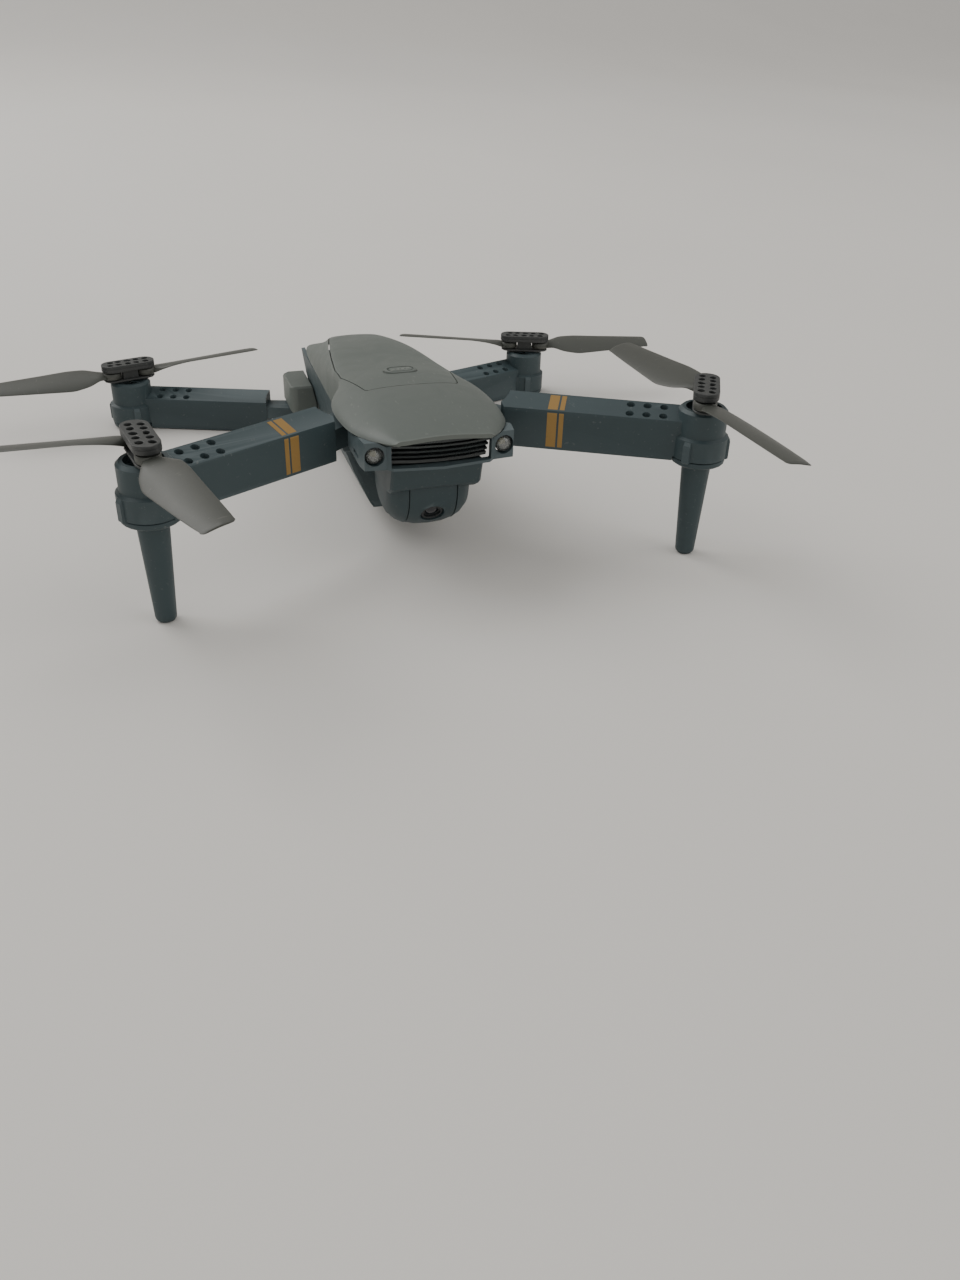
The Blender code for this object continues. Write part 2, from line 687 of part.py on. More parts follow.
def make_arm(end, side, spec):
    """One arm with its motor, cover and hinge pin. end is front or rear, side is left or right."""
    pivot, hub, offset = spec["pivot"], spec["hub"], spec["offset"]
    angle, along = arm_frame(pivot, hub, offset)
    label = f"{end}_{side}"
    pod_top = spec["hub_top"] - HUB_DEPTH - 0.5
    pod_bottom = pod_top - spec["pod_height"] + COVER_HEIGHT
    arm_top = spec["arm_top"]
    arm_bottom = spec["arm_bottom"]
    outline = turn_outline(arm_outline(offset, along), angle, pivot)
    arm = prism(f"arm_{label}", outline, arm_bottom, arm_top, "hull")
    slope_top(arm, pivot, angle, arm_top, -offset)
    round_edges(arm, 0.9)
    tongue_low, tongue_high = spec["tongue"]
    cut(arm, cylinder(f"root_disc_{label}", ROOT_RADIUS, arm_bottom - 5, arm_top + 5, pivot, sides=28))
    cut(arm, box(f"root_side_{label}", (0, pivot[1] - 30, arm_bottom - 5),
                 (spec["root_x"], pivot[1] + 30, arm_top + 5)))
    tongue = prism("tongue", turn_outline(tongue_outline(offset), angle, pivot), tongue_low, tongue_high)
    pod = turned("pod", pod_profile(pod_bottom, pod_top), (*hub, 0), steps=24)
    join(arm, tongue, apply_modifiers(pod))
    motor_bore = MOTOR_RADIUS + 1.5 * GAP
    cut(arm, cylinder(f"motor_bore_{label}", motor_bore, pod_bottom - 5, pod_top + 5, hub, sides=32))
    cut(arm, cylinder(f"cover_room_{label}", SKIRT_RADIUS + GAP, pod_bottom - 8, pod_bottom, hub, sides=24))
    pin_bore = PIN_RADIUS + GAP
    cut(arm, cylinder(f"pin_bore_{label}", pin_bore, tongue_low - 5, tongue_high + 5, pivot, sides=16))
    start, stop = ROOT_RADIUS + 3.5, along - SKIRT_RADIUS - 1.6
    half = ARM_WIDTH / 2 - 1.4
    room = [(start, -offset - half), (stop, -offset - half), (stop, -offset + half), (start, -offset + half)]
    cut(arm, prism(f"arm_room_{label}", turn_outline(room, angle, pivot), arm_bottom - 2, arm_top - 3.5))
    for row in range(3):
        for column in range(2):
            spot = (along - 11.3 - row * 4.9, -offset - 2.1 + column * 4.2)
            centre = turn_outline([spot], angle, pivot)[0]
            floor = arm_top - 1.0 - ARM_DROP * (0.75 - 0.5 * column)
            cut(arm, cylinder(f"arm_hole_{label}_{row}_{column}", 1.25, floor, arm_top + 1, centre, sides=10))
    lid = [(start + GAP, -offset - half + GAP), (stop - GAP, -offset - half + GAP),
           (stop - GAP, -offset + half - GAP), (start + GAP, -offset + half - GAP)]
    cover = prism(f"arm_cover_{label}", turn_outline(lid, angle, pivot), arm_bottom, arm_bottom + 1.2, "hull")
    pod_cover = make_pod_cover(label, hub, pod_bottom, end == "front")
    can_base = pod_bottom + 0.1
    can_top = can_base + MOTOR_LENGTH
    can_profile = [(0.0, can_top - 4.0), (0.9, can_top - 4.0), (0.9, can_top), (MOTOR_RADIUS - 0.5, can_top),
                   (MOTOR_RADIUS, can_top - 0.5), (MOTOR_RADIUS, can_base), (0.0, can_base)]
    can = turned(f"motor_can_{label}", can_profile, (*hub, 0), "motor", 16)
    pin = make_pin(label, pivot, spec)
    return [arm, cover, pod_cover, can], pin, can_top


def make_pod_cover(label, hub, top, has_leg):
    """The pod's bottom cover; on a front arm it carries the landing leg."""
    top -= GAP
    base = top - COVER_HEIGHT + GAP
    rim = SKIRT_RADIUS - 0.2
    if not has_leg:
        profile = [(0.0, top), (rim, top), (rim, 1.0), (rim - 1.0, 0.0), (0.0, 0.0)]
        return turned(f"pod_cover_{label}", profile, (*hub, 0), "hull", 24)
    profile = [(0.0, top), (rim, top), (rim, base + 0.9), (rim - 1.4, base), (LEG_TOP_RADIUS + 0.8, base),
               (LEG_TOP_RADIUS, base - 0.9), (LEG_FOOT_RADIUS, 0.9), (LEG_FOOT_RADIUS - 0.7, 0.0), (0.0, 0.0)]
    return turned(f"pod_cover_{label}", profile, (*hub, 0), "hull", 24)


def make_pin(label, pivot, spec):
    """The shouldered screw that an arm folds on."""
    low, high = spec["pin"]
    head = spec["pin_head"]
    if head:
        profile = [(0.0, high), (PIN_RADIUS, high), (PIN_RADIUS, low + 1.4), (head, low + 1.4), (head, low),
                   (0.0, low)]
    else:
        profile = [(0.0, high), (PIN_RADIUS, high), (PIN_RADIUS, low), (0.0, low)]
    return turned(f"hinge_pin_{label}", profile, (*pivot, 0), "steel", 16)


# ---------------------------------------------------------------- propellers

# Blade stations from the root: distance, trailing edge y, leading edge y, pitch in degrees, thickness
BLADE_STATIONS = (
    (2.0, -2.9, 2.9, 0.0, 2.0),
    (5.0, -4.4, 4.6, 7.0, 1.7),
    (9.0, -6.9, 6.2, 15.0, 1.3),
    (15.0, -8.4, 6.3, 18.0, 1.1),
    (24.0, -7.4, 5.8, 16.0, 1.0),
    (34.0, -6.2, 5.4, 14.0, 0.9),
    (42.5, -5.0, 5.0, 12.0, 0.8),
    (44.6, -4.3, 4.7, 12.0, 0.7),
    (45.5, -3.4, 3.9, 12.0, 0.5),
)


def blade_section(distance, trailing, leading, pitch, thick, hand):
    """A cambered ring of eight points across the blade at one distance from the pin."""
    ring = []
    chord = leading - trailing
    for part, rise in ((0.0, 0.0), (0.25, 0.45), (0.6, 0.5), (0.88, 0.35), (1.0, 0.0), (0.88, -0.3), (0.6, -0.3),
                       (0.25, -0.25)):
        y = trailing + chord * part
        camber = chord * 0.05 * (1 - (2 * part - 1) ** 2) if pitch else 0.0
        if not pitch:
            rise = 0.5 if rise > 0 else -0.5
        z = rise * thick + camber
        slope = radians(pitch)
        across = y * cos(slope) - z * sin(slope)
        height = y * sin(slope) + z * cos(slope)
        ring.append((distance, across * hand, height))
    return ring


def make_blade(name, hub, hub_top, pin_angle, rest_angle, hand):
    """A blade on its pin, pointing along rest_angle; hand is 1 for an anticlockwise rotor."""
    body = loft(name, [blade_section(*station, hand) for station in BLADE_STATIONS], "prop")
    lug = cylinder("lug", LUG_RADIUS, -LUG_THICK / 2, LUG_THICK / 2, (0, 0), sides=14)
    join(body, lug)
    cut(body, cylinder(f"{name}_bore", POST_RADIUS + GAP, -3, 3, (0, 0), sides=10))
    apply_modifiers(body)
    centre = turn_outline([(BLADE_PIN, 0)], radians(pin_angle), hub)[0]
    body.location = mm(*centre, hub_top - LUG_TOP - LUG_THICK / 2)
    body.rotation_euler = (0, 0, radians(rest_angle))
    return body


def make_rotor(label, hub, hub_top, hub_angle, blade_angles, hand, can_top):
    """Hub, cap, shaft and two blades of one propeller."""
    turn = radians(hub_angle)
    plate_low = hub_top - HUB_DEPTH
    plate_high = hub_top - LUG_TOP - LUG_THICK - 0.3
    outline = turn_outline(stadium(HUB_LENGTH - 0.6, HUB_WIDTH - 0.6), turn, hub)
    base = prism(f"prop_hub_{label}", outline, plate_low + 0.1, plate_high, "hub")
    round_edges(base, 0.2)
    collar = turned("collar", [(0.0, plate_high - 0.1), (3.0, plate_high - 0.1), (2.8, plate_low), (0.0, plate_low)],
                    (*hub, 0), steps=12)
    posts = []
    for end in (-1, 1):
        spot = turn_outline([(end * BLADE_PIN, 0)], turn, hub)[0]
        posts.append(cylinder(f"post_{end}", POST_RADIUS, plate_high - 0.4, hub_top - CAP_DEPTH - GAP, spot, sides=8))
    web_half = BLADE_PIN - LUG_RADIUS - GAP
    web_outline = turn_outline([(-web_half, -2.2), (web_half, -2.2), (web_half, 2.2), (-web_half, 2.2)], turn, hub)
    web = prism("web", web_outline, plate_high - 0.4, hub_top - CAP_DEPTH - GAP)
    join(base, apply_modifiers(collar), web, *posts)
    cut(base, cylinder(f"hub_bore_{label}", 0.8, plate_low - 2, plate_high - 0.25, hub, sides=8))
    cap_outline = turn_outline(stadium(HUB_LENGTH, HUB_WIDTH), turn, hub)
    cap = prism(f"hub_cap_{label}", cap_outline, hub_top - CAP_DEPTH, hub_top, "hub")
    round_edges(cap, 0.5)
    shaft = cylinder(f"motor_shaft_{label}", SHAFT_RADIUS, can_top - 3.6, plate_high - 0.4, hub, "steel", 8)
    centre = (*hub, plate_low)
    for piece in (base, cap, shaft):
        move_origin(piece, centre)
    blades = []
    for letter, pin_angle, rest in (("a", hub_angle, blade_angles[0]), ("b", hub_angle + 180, blade_angles[1])):
        blades.append(make_blade(f"blade_{label}_{letter}", hub, hub_top, pin_angle, rest, hand))
    return [base, cap, shaft], blades


ARM_SPECS = {
    "front": {"pivot": FRONT_PIVOT, "hub": FRONT_HUB, "offset": FRONT_OFFSET, "hub_top": FRONT_HUB_TOP,
              "pod_height": FRONT_POD_HEIGHT, "arm_top": 45.6, "arm_bottom": 31.2, "tongue": (33.3, 39.8), "root_x": 25.3,
              "pin": (31.3, 40.9), "pin_head": 0.0},
    "rear": {"pivot": REAR_PIVOT, "hub": REAR_HUB, "offset": REAR_OFFSET, "hub_top": REAR_HUB_TOP,
             "pod_height": REAR_POD_HEIGHT, "arm_top": 14.0, "arm_bottom": 0.4, "tongue": (5.6, 10.0), "root_x": 24.0,
             "pin": (3.9, 18.0), "pin_head": 2.8},
}

# Rest angles seen from above: hub's long axis, blade a, blade b; and the rotor's hand
ROTORS = {
    "front_right": (-118.0, -86.0, 100.5, -1),
    "front_left": (-80.0, -74.7, 178.5, 1),
    "rear_right": (-17.9, -8.3, 152.6, 1),
    "rear_left": (15.9, 20.5, 191.3, -1),
}


def mirror_copy(part):
    """Left-hand twin of a finished right-hand part."""
    name = part.name.replace("right", "left")
    twin = bpy.data.objects.new(name, part.data.copy())
    DRONE.objects.link(twin)
    twin.matrix_world = part.matrix_world.copy()
    bpy.context.view_layer.update()
    return mirrored(twin, name)


def make_all_arms():
    for end, spec in ARM_SPECS.items():
        pieces, pin, can_top = make_arm(end, "right", spec)
        for piece in pieces + [pin]:
            apply_modifiers(piece)
        bpy.context.view_layer.update()
        twins = [mirror_copy(piece) for piece in pieces]
        mirror_copy(pin)
        for side, sign, group in (("right", 1, pieces), ("left", -1, twins)):
            label = f"{end}_{side}"
            pivot = (sign * spec["pivot"][0], spec["pivot"][1], spec["arm_top"])
            hub = (sign * spec["hub"][0], spec["hub"][1])
            fold_axis = axis_empty(f"fold_axis_{label}", pivot)
            hub_angle, blade_a, blade_b, hand = ROTORS[label]
            rotor, blades = make_rotor(label, hub, spec["hub_top"], hub_angle, (blade_a, blade_b), hand, can_top)
            for piece in group:
                move_origin(piece, pivot)
            for piece in group + rotor + blades:
                hang(piece, fold_axis)


def shade(part):
    part.data.shade_smooth()
    part.data.set_sharp_from_angle(angle=radians(32))


def main():
    make_top()
    make_hull()
    pair(make_rear_block)
    pair(make_front_bracket)
    make_nose()
    make_grille()
    pair(make_lamp)
    barrel, lens, axle = make_camera()
    make_chin()
    camera_axis = axis_empty("camera_axis", (0, CAMERA_Y, CAMERA_Z))
    hang(barrel, camera_axis)
    hang(lens, camera_axis)
    make_inside()
    make_all_arms()
    for part in [*DRONE.objects, *CUTTERS.objects]:
        if part.parent is None:
            part.location.y += FRAME_SHIFT * MM
    for part in DRONE.objects:
        if part.type == "MESH":
            shade(part)


main()
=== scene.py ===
"""Visual model of a foldable palm quadcopter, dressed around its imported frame.

The nose faces -Y and +Z is up. Lengths in the classes are millimetres. Distances along the
drone are taken from a datum that lies 11.1 mm ahead of the frame's origin.
"""

import logging
from dataclasses import dataclass, field, replace
from enum import Enum
from math import atan2, cos, pi, radians, sin
from typing import Iterable, Sequence

import bmesh
import bpy
from mathutils import Matrix, Vector


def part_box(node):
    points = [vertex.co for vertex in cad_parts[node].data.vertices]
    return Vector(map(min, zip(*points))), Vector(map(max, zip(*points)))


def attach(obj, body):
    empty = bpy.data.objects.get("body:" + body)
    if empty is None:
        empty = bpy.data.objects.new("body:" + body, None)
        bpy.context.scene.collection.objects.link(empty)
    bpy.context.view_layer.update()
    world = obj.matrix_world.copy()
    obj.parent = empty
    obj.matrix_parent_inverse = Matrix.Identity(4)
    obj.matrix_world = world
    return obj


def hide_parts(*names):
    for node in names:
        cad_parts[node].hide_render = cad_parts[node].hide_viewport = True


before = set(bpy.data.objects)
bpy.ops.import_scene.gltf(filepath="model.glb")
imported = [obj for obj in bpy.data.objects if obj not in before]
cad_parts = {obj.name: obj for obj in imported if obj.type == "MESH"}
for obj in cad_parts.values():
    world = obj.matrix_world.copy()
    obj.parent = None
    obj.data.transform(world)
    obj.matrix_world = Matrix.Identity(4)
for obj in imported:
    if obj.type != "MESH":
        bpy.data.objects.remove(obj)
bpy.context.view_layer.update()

LOG = logging.getLogger("palm_drone")

MM = 0.001
DATUM_Y = -11.1

Point2 = tuple[float, float]
Point3 = tuple[float, float, float]
Colour = tuple[float, float, float]

LINT: Colour = (0.42, 0.41, 0.38)
GRIME: Colour = (0.07, 0.06, 0.04)
SPECK: Colour = (0.5, 0.5, 0.48)
PLASTIC_INDEX = 1.47
ACRYLIC_INDEX = 1.49


class Side(Enum):
    """Which half of the airframe a piece belongs to; the value is the sign of x."""

    LEFT = -1
    RIGHT = 1


class End(Enum):
    """Which pair of arms a corner belongs to."""

    FRONT = "front"
    REAR = "rear"


class Spin(Enum):
    """The way a propeller turns, seen from above."""

    CLOCKWISE = -1
    ANTICLOCKWISE = 1


class Texture(Enum):
    """Surface textures a mould can leave."""

    SPARKED = "sparked"
    SATIN = "satin"
    POLISHED = "polished"


# ---------------------------------------------------------------- shader maths


class Signal:
    """A shader socket that takes part in Python arithmetic."""

    def __init__(self, graph: "ShaderGraph", socket: bpy.types.NodeSocket) -> None:
        """Wrap a socket.

        Args:
            graph: The graph that new Math nodes are added to.
            socket: The output socket to wrap.
        """
        self.graph = graph
        self.socket = socket

    def _math(self, operation: str, first: "Signal | float", second: "Signal | float") -> "Signal":
        """Add a Math node.

        Args:
            operation: The node's operation, such as ADD.
            first: Left operand.
            second: Right operand.

        Returns:
            The node's result.
        """
        return self.graph.node("ShaderNodeMath", {"operation": operation}, {0: first, 1: second})

    def __add__(self, other: "Signal | float") -> "Signal":
        """self + other."""
        return self._math("ADD", self, other)

    def __radd__(self, other: float) -> "Signal":
        """other + self."""
        return self._math("ADD", other, self)

    def __sub__(self, other: "Signal | float") -> "Signal":
        """self - other."""
        return self._math("SUBTRACT", self, other)

    def __mul__(self, other: "Signal | float") -> "Signal":
        """self * other."""
        return self._math("MULTIPLY", self, other)

    def clipped(self) -> "Signal":
        """The signal held between 0 and 1."""
        return self.graph.node("ShaderNodeClamp", {}, {"Value": self})

    def above(self, level: float, sharpness: float) -> "Signal":
        """A mask of where the signal passes a level.

        Args:
            level: Where the mask starts.
            sharpness: How steeply it rises.

        Returns:
            A signal from 0 to 1.
        """
        return ((self - level) * sharpness).clipped()


class ShaderGraph:
    """The node tree of one material."""

    def __init__(self, name: str) -> None:
        """Start an empty material.

        Args:
            name: The material's name.
        """
        self.material = bpy.data.materials.new(name)
        self.material.use_nodes = True
        self.tree = self.material.node_tree
        self.tree.nodes.clear()

    def feed(self, socket: bpy.types.NodeSocket, value: object) -> None:
        """Link a signal to a socket, or set the socket's own value.

        Args:
            socket: The input socket.
            value: A Signal, a number, a colour or a vector.
        """
        if isinstance(value, Signal):
            self.tree.links.new(value.socket, socket)
        elif socket.type == "RGBA" and isinstance(value, tuple) and len(value) == 3:
            socket.default_value = (*value, 1.0)
        else:
            socket.default_value = value

    def node(self, kind: str, settings: dict | None = None, sockets: dict | None = None,
             output: int | str = 0) -> Signal:
        """Add any node.

        Args:
            kind: The node's type.
            settings: Attributes set before the sockets.
            sockets: Input sockets by name or index, each a Signal or a value.
            output: Which output to hand back.

        Returns:
            The chosen output.
        """
        made = self.tree.nodes.new(kind)
        for key, value in (settings or {}).items():
            setattr(made, key, value)
        for key, value in (sockets or {}).items():
            self.feed(made.inputs[key], value)
        return Signal(self, made.outputs[output])

    def place(self, stretch: Point3 = (1.0, 1.0, 1.0)) -> Signal:
        """Object coordinates, stretched along each axis."""
        raw = self.node("ShaderNodeTexCoord", {}, {}, "Object")
        return self.node("ShaderNodeMapping", {}, {"Vector": raw, "Scale": stretch})

    def noise(self, where: Signal, size: float, detail: float = 3.0, twist: float = 0.0) -> Signal:
        """Fractal noise.

        Args:
            where: The coordinates it is read at.
            size: The size of one feature, in millimetres.
            detail: Octaves of finer features.
            twist: Distortion.

        Returns:
            A signal around 0.5.
        """
        sockets = {"Vector": where, "Scale": 1.0 / (size * MM), "Detail": detail, "Distortion": twist}
        return self.node("ShaderNodeTexNoise", {}, sockets, 0)

    def mix(self, share: Signal | float, first: Signal | Colour, second: Signal | Colour) -> Signal:
        """Blend two colours."""
        return self.node("ShaderNodeMix", {"data_type": "RGBA"}, {0: share, 6: first, 7: second}, 2)

    def edges(self, gain: float) -> Signal:
        """A mask of raised edges, from the mesh's own curvature."""
        pointed = self.node("ShaderNodeNewGeometry", {}, {}, "Pointiness")
        return ((pointed - 0.52) * gain).clipped()

    def bump(self, height: Signal, depth: float, strength: float = 1.0) -> Signal:
        """A normal from a height.

        Args:
            height: The height signal, 0 to 1.
            depth: Full height in millimetres.
            strength: How much of it shows.

        Returns:
            The bumped normal.
        """
        return self.node("ShaderNodeBump", {}, {"Strength": strength, "Distance": depth * MM, "Height": height})

    def surface(self, **sockets: object) -> bpy.types.Material:
        """Close the graph with a Principled shader.

        Args:
            **sockets: Input names, with underscores for spaces.

        Returns:
            The finished material.
        """
        named = {name.replace("_", " "): value for name, value in sockets.items()}
        shader = self.node("ShaderNodeBsdfPrincipled", {}, named)
        self.node_output(shader)
        return self.material

    def node_output(self, shader: Signal) -> None:
        """Link a shader to the material's output."""
        output = self.tree.nodes.new("ShaderNodeOutputMaterial")
        self.tree.links.new(shader.socket, output.inputs["Surface"])


# ---------------------------------------------------------------- finishes


def shaded(colour: Colour, share: float) -> Colour:
    """A colour with its brightness scaled."""
    return tuple(value * share for value in colour)


@dataclass(frozen=True)
class MouldedPlastic:
    """Injection-moulded plastic with grain, handling marks, dust and lighter worn edges."""

    name: str
    colour: Colour
    tint: Colour
    worn: Colour
    texture: Texture
    roughness: float
    dust: float = 0.12
    flow: Point3 = (1.0, 1.0, 1.0)

    def material(self) -> bpy.types.Material:
        """Build the material."""
        graph = ShaderGraph(self.name)
        where = graph.place(self.flow)
        size, depth = {Texture.SPARKED: (0.16, 0.022), Texture.SATIN: (0.28, 0.010),
                       Texture.POLISHED: (0.6, 0.003)}[self.texture]
        grain = graph.noise(where, size, 3.0)
        cloud = graph.noise(where, 26.0, 4.0, 0.4)
        handled = graph.noise(where, 11.0, 3.0, 1.2)
        lint = graph.noise(graph.place((1.0, 0.25, 1.0)), 0.9, 2.0).above(0.66, 9.0)
        scratch = graph.noise(graph.place((0.08, 1.0, 1.0)), 0.5, 2.0, 0.3).above(0.70, 12.0)
        colour = graph.mix((cloud - 0.2).clipped(), self.colour, self.tint)
        colour = graph.mix((grain - 0.35).clipped() * 0.5, colour, self.tint)
        colour = graph.mix(graph.edges(5.0) * 0.55, colour, self.worn)
        colour = graph.mix(lint * self.dust, colour, LINT)
        colour = graph.mix(scratch * (self.dust * 0.6), colour, self.worn)
        rough = self.roughness + (handled - 0.5) * 0.22 + (grain - 0.5) * 0.10 + scratch * 0.06
        height = grain * 0.9 + scratch * -0.25
        return graph.surface(Base_Color=colour, Roughness=rough.clipped(), Normal=graph.bump(height, depth, 0.7),
                             IOR=PLASTIC_INDEX)


@dataclass(frozen=True)
class TurnedMetal:
    """Drawn or turned metal with fine lines and a few darker stains."""

    name: str
    colour: Colour
    roughness: float
    stretch: Point3 = (1.0, 1.0, 14.0)
    stain: float = 0.55

    def material(self) -> bpy.types.Material:
        """Build the material."""
        graph = ShaderGraph(self.name)
        lines = graph.noise(graph.place(self.stretch), 1.4, 4.0)
        stain = graph.noise(graph.place(), 3.0, 3.0, 0.8)
        colour = graph.mix(stain.above(0.48, 3.0) * 0.5, self.colour, shaded(self.colour, self.stain))
        rough = self.roughness + (lines - 0.5) * 0.22
        return graph.surface(Base_Color=colour, Metallic=1.0, Roughness=rough.clipped(),
                             Normal=graph.bump(lines, 0.006, 0.6))


@dataclass(frozen=True)
class StripeFilm:
    """Printed film with a fine flake and rubbed patches."""

    name: str
    colour: Colour

    def material(self) -> bpy.types.Material:
        """Build the material."""
        graph = ShaderGraph(self.name)
        flake = graph.noise(graph.place(), 0.10, 2.0)
        rubbed = graph.noise(graph.place(), 2.2, 4.0, 0.8)
        colour = graph.mix((flake - 0.3).clipped(), shaded(self.colour, 0.72), self.colour)
        colour = graph.mix(rubbed.above(0.66, 8.0) * 0.35, colour, GRIME)
        rough = 0.42 + (rubbed - 0.5) * 0.25
        return graph.surface(Base_Color=colour, Metallic=0.25, Roughness=rough.clipped(),
                             Normal=graph.bump(flake, 0.004, 0.5))


@dataclass(frozen=True)
class ClearPlastic:
    """Clear moulded lens with faint smears."""

    name: str
    colour: Colour
    transmission: float
    roughness: float

    def material(self) -> bpy.types.Material:
        """Build the material."""
        graph = ShaderGraph(self.name)
        smear = graph.noise(graph.place((1.0, 0.4, 1.0)), 1.6, 3.0, 0.9)
        speck = graph.noise(graph.place(), 0.3, 2.0).above(0.72, 10.0)
        colour = graph.mix(speck * 0.4, self.colour, SPECK)
        rough = self.roughness + (smear - 0.4).clipped() * 0.2 + speck * 0.2
        return graph.surface(Base_Color=colour, Roughness=rough.clipped(), Normal=graph.bump(smear, 0.004, 0.3),
                             IOR=ACRYLIC_INDEX, Transmission_Weight=self.transmission, Coat_Weight=0.6)


@dataclass(frozen=True)
class PouchFoil:
    """Crinkled foil of a flat cell, with painted shade in its low folds."""

    name: str
    colour: Colour

    def material(self) -> bpy.types.Material:
        """Build the material."""
        graph = ShaderGraph(self.name)
        crease = graph.noise(graph.place(), 5.0, 5.0, 0.7)
        # Painted shade: the foil's colour darkens where the crinkle's height is low, in its folds.
        colour = graph.mix((crease - 0.2).clipped(), shaded(self.colour, 0.7), self.colour)
        return graph.surface(Base_Color=colour, Metallic=0.8, Roughness=(0.25 + crease * 0.25),
                             Normal=graph.bump(crease, 0.12, 0.8))


@dataclass(frozen=True)
class SolderMask:
    """Green board with lighter tracks under the mask."""

    name: str
    colour: Colour
    track: Colour

    def material(self) -> bpy.types.Material:
        """Build the material."""
        graph = ShaderGraph(self.name)
        cells = graph.node("ShaderNodeTexBrick", {"offset": 0.35}, {
            "Vector": graph.place(), "Scale": 300.0, "Color1": self.colour, "Color2": self.colour,
            "Mortar": self.track, "Mortar Size": 0.03}, "Color")
        cloud = graph.noise(graph.place(), 6.0, 3.0)
        colour = graph.mix(cloud * 0.4, cells, self.colour)
        return graph.surface(Base_Color=colour, Roughness=(0.3 + cloud * 0.15), Coat_Weight=0.4)


@dataclass(frozen=True)
class PaleCloth:
    """Plain pale floor covering."""

    name: str
    colour: Colour

    def material(self) -> bpy.types.Material:
        """Build the material."""
        graph = ShaderGraph(self.name)
        soft = graph.noise(graph.place((1.0, 0.5, 1.0)), 220.0, 3.0, 0.4)
        weave = graph.noise(graph.place(), 0.8, 2.0)
        colour = graph.mix((soft - 0.1).clipped(), self.colour, shaded(self.colour, 0.93))
        return graph.surface(Base_Color=colour, Roughness=0.95, Normal=graph.bump(weave, 0.05, 0.25))


class Finishes:
    """Every finish on the drone, built once and shared."""

    def __init__(self) -> None:
        """Build the materials."""
        self.top = MouldedPlastic("grey_green_top", (0.090, 0.108, 0.098), (0.112, 0.127, 0.116),
                                  (0.24, 0.25, 0.23), Texture.SPARKED, 0.52, 0.16).material()
        self.hull = MouldedPlastic("slate_body", (0.030, 0.050, 0.056), (0.042, 0.064, 0.070),
                                   (0.10, 0.13, 0.14), Texture.SATIN, 0.50, 0.12).material()
        self.blade = MouldedPlastic("grey_blade", (0.050, 0.054, 0.047), (0.066, 0.069, 0.060),
                                    (0.13, 0.13, 0.12), Texture.SATIN, 0.44, 0.10, (0.2, 1.0, 1.0)).material()
        self.hub = MouldedPlastic("charcoal_hub", (0.030, 0.033, 0.033), (0.045, 0.048, 0.048),
                                  (0.12, 0.12, 0.12), Texture.SATIN, 0.48, 0.14).material()
        self.trim = MouldedPlastic("black_trim", (0.010, 0.013, 0.015), (0.016, 0.020, 0.022),
                                   (0.06, 0.07, 0.07), Texture.POLISHED, 0.30, 0.08).material()
        # Painted shade: a near-black finish for the floor inside each hub cap, standing in for the shade under the
        # pierced skin.
        self.painted_shade = MouldedPlastic("deep_black", (0.004, 0.005, 0.005), (0.007, 0.008, 0.008),
                                  (0.01, 0.01, 0.01), Texture.SATIN, 0.8, 0.02).material()
        self.gold = StripeFilm("gold_stripe", (0.40, 0.235, 0.065)).material()
        self.can = TurnedMetal("motor_can", (0.62, 0.61, 0.58), 0.30).material()
        self.steel = TurnedMetal("bright_steel", (0.66, 0.65, 0.63), 0.24).material()
        self.clear = ClearPlastic("clear_lamp", (0.85, 0.88, 0.86), 0.92, 0.05).material()
        self.glass = ClearPlastic("dark_lens_glass", (0.012, 0.014, 0.020), 0.0, 0.04).material()
        self.lamp_chip = StripeFilm("lamp_chip", (0.22, 0.19, 0.09)).material()
        self.foil = PouchFoil("cell_foil", (0.45, 0.46, 0.48)).material()
        self.board = SolderMask("green_board", (0.012, 0.09, 0.035), (0.05, 0.22, 0.09)).material()
        self.floor = PaleCloth("pale_floor", (0.74, 0.72, 0.69)).material()


# ---------------------------------------------------------------- mesh work


def at(x: float, y: float, z: float) -> Vector:
    """A point in the drone's own millimetres, as a position in the frame."""
    return Vector((x, y + DATUM_Y, z)) * MM


def added(name: str, data: bpy.types.ID) -> bpy.types.Object:
    """A new object in the scene, with the given mesh, curve, light or camera."""
    made = bpy.data.objects.new(name, data)
    bpy.context.scene.collection.objects.link(made)
    return made


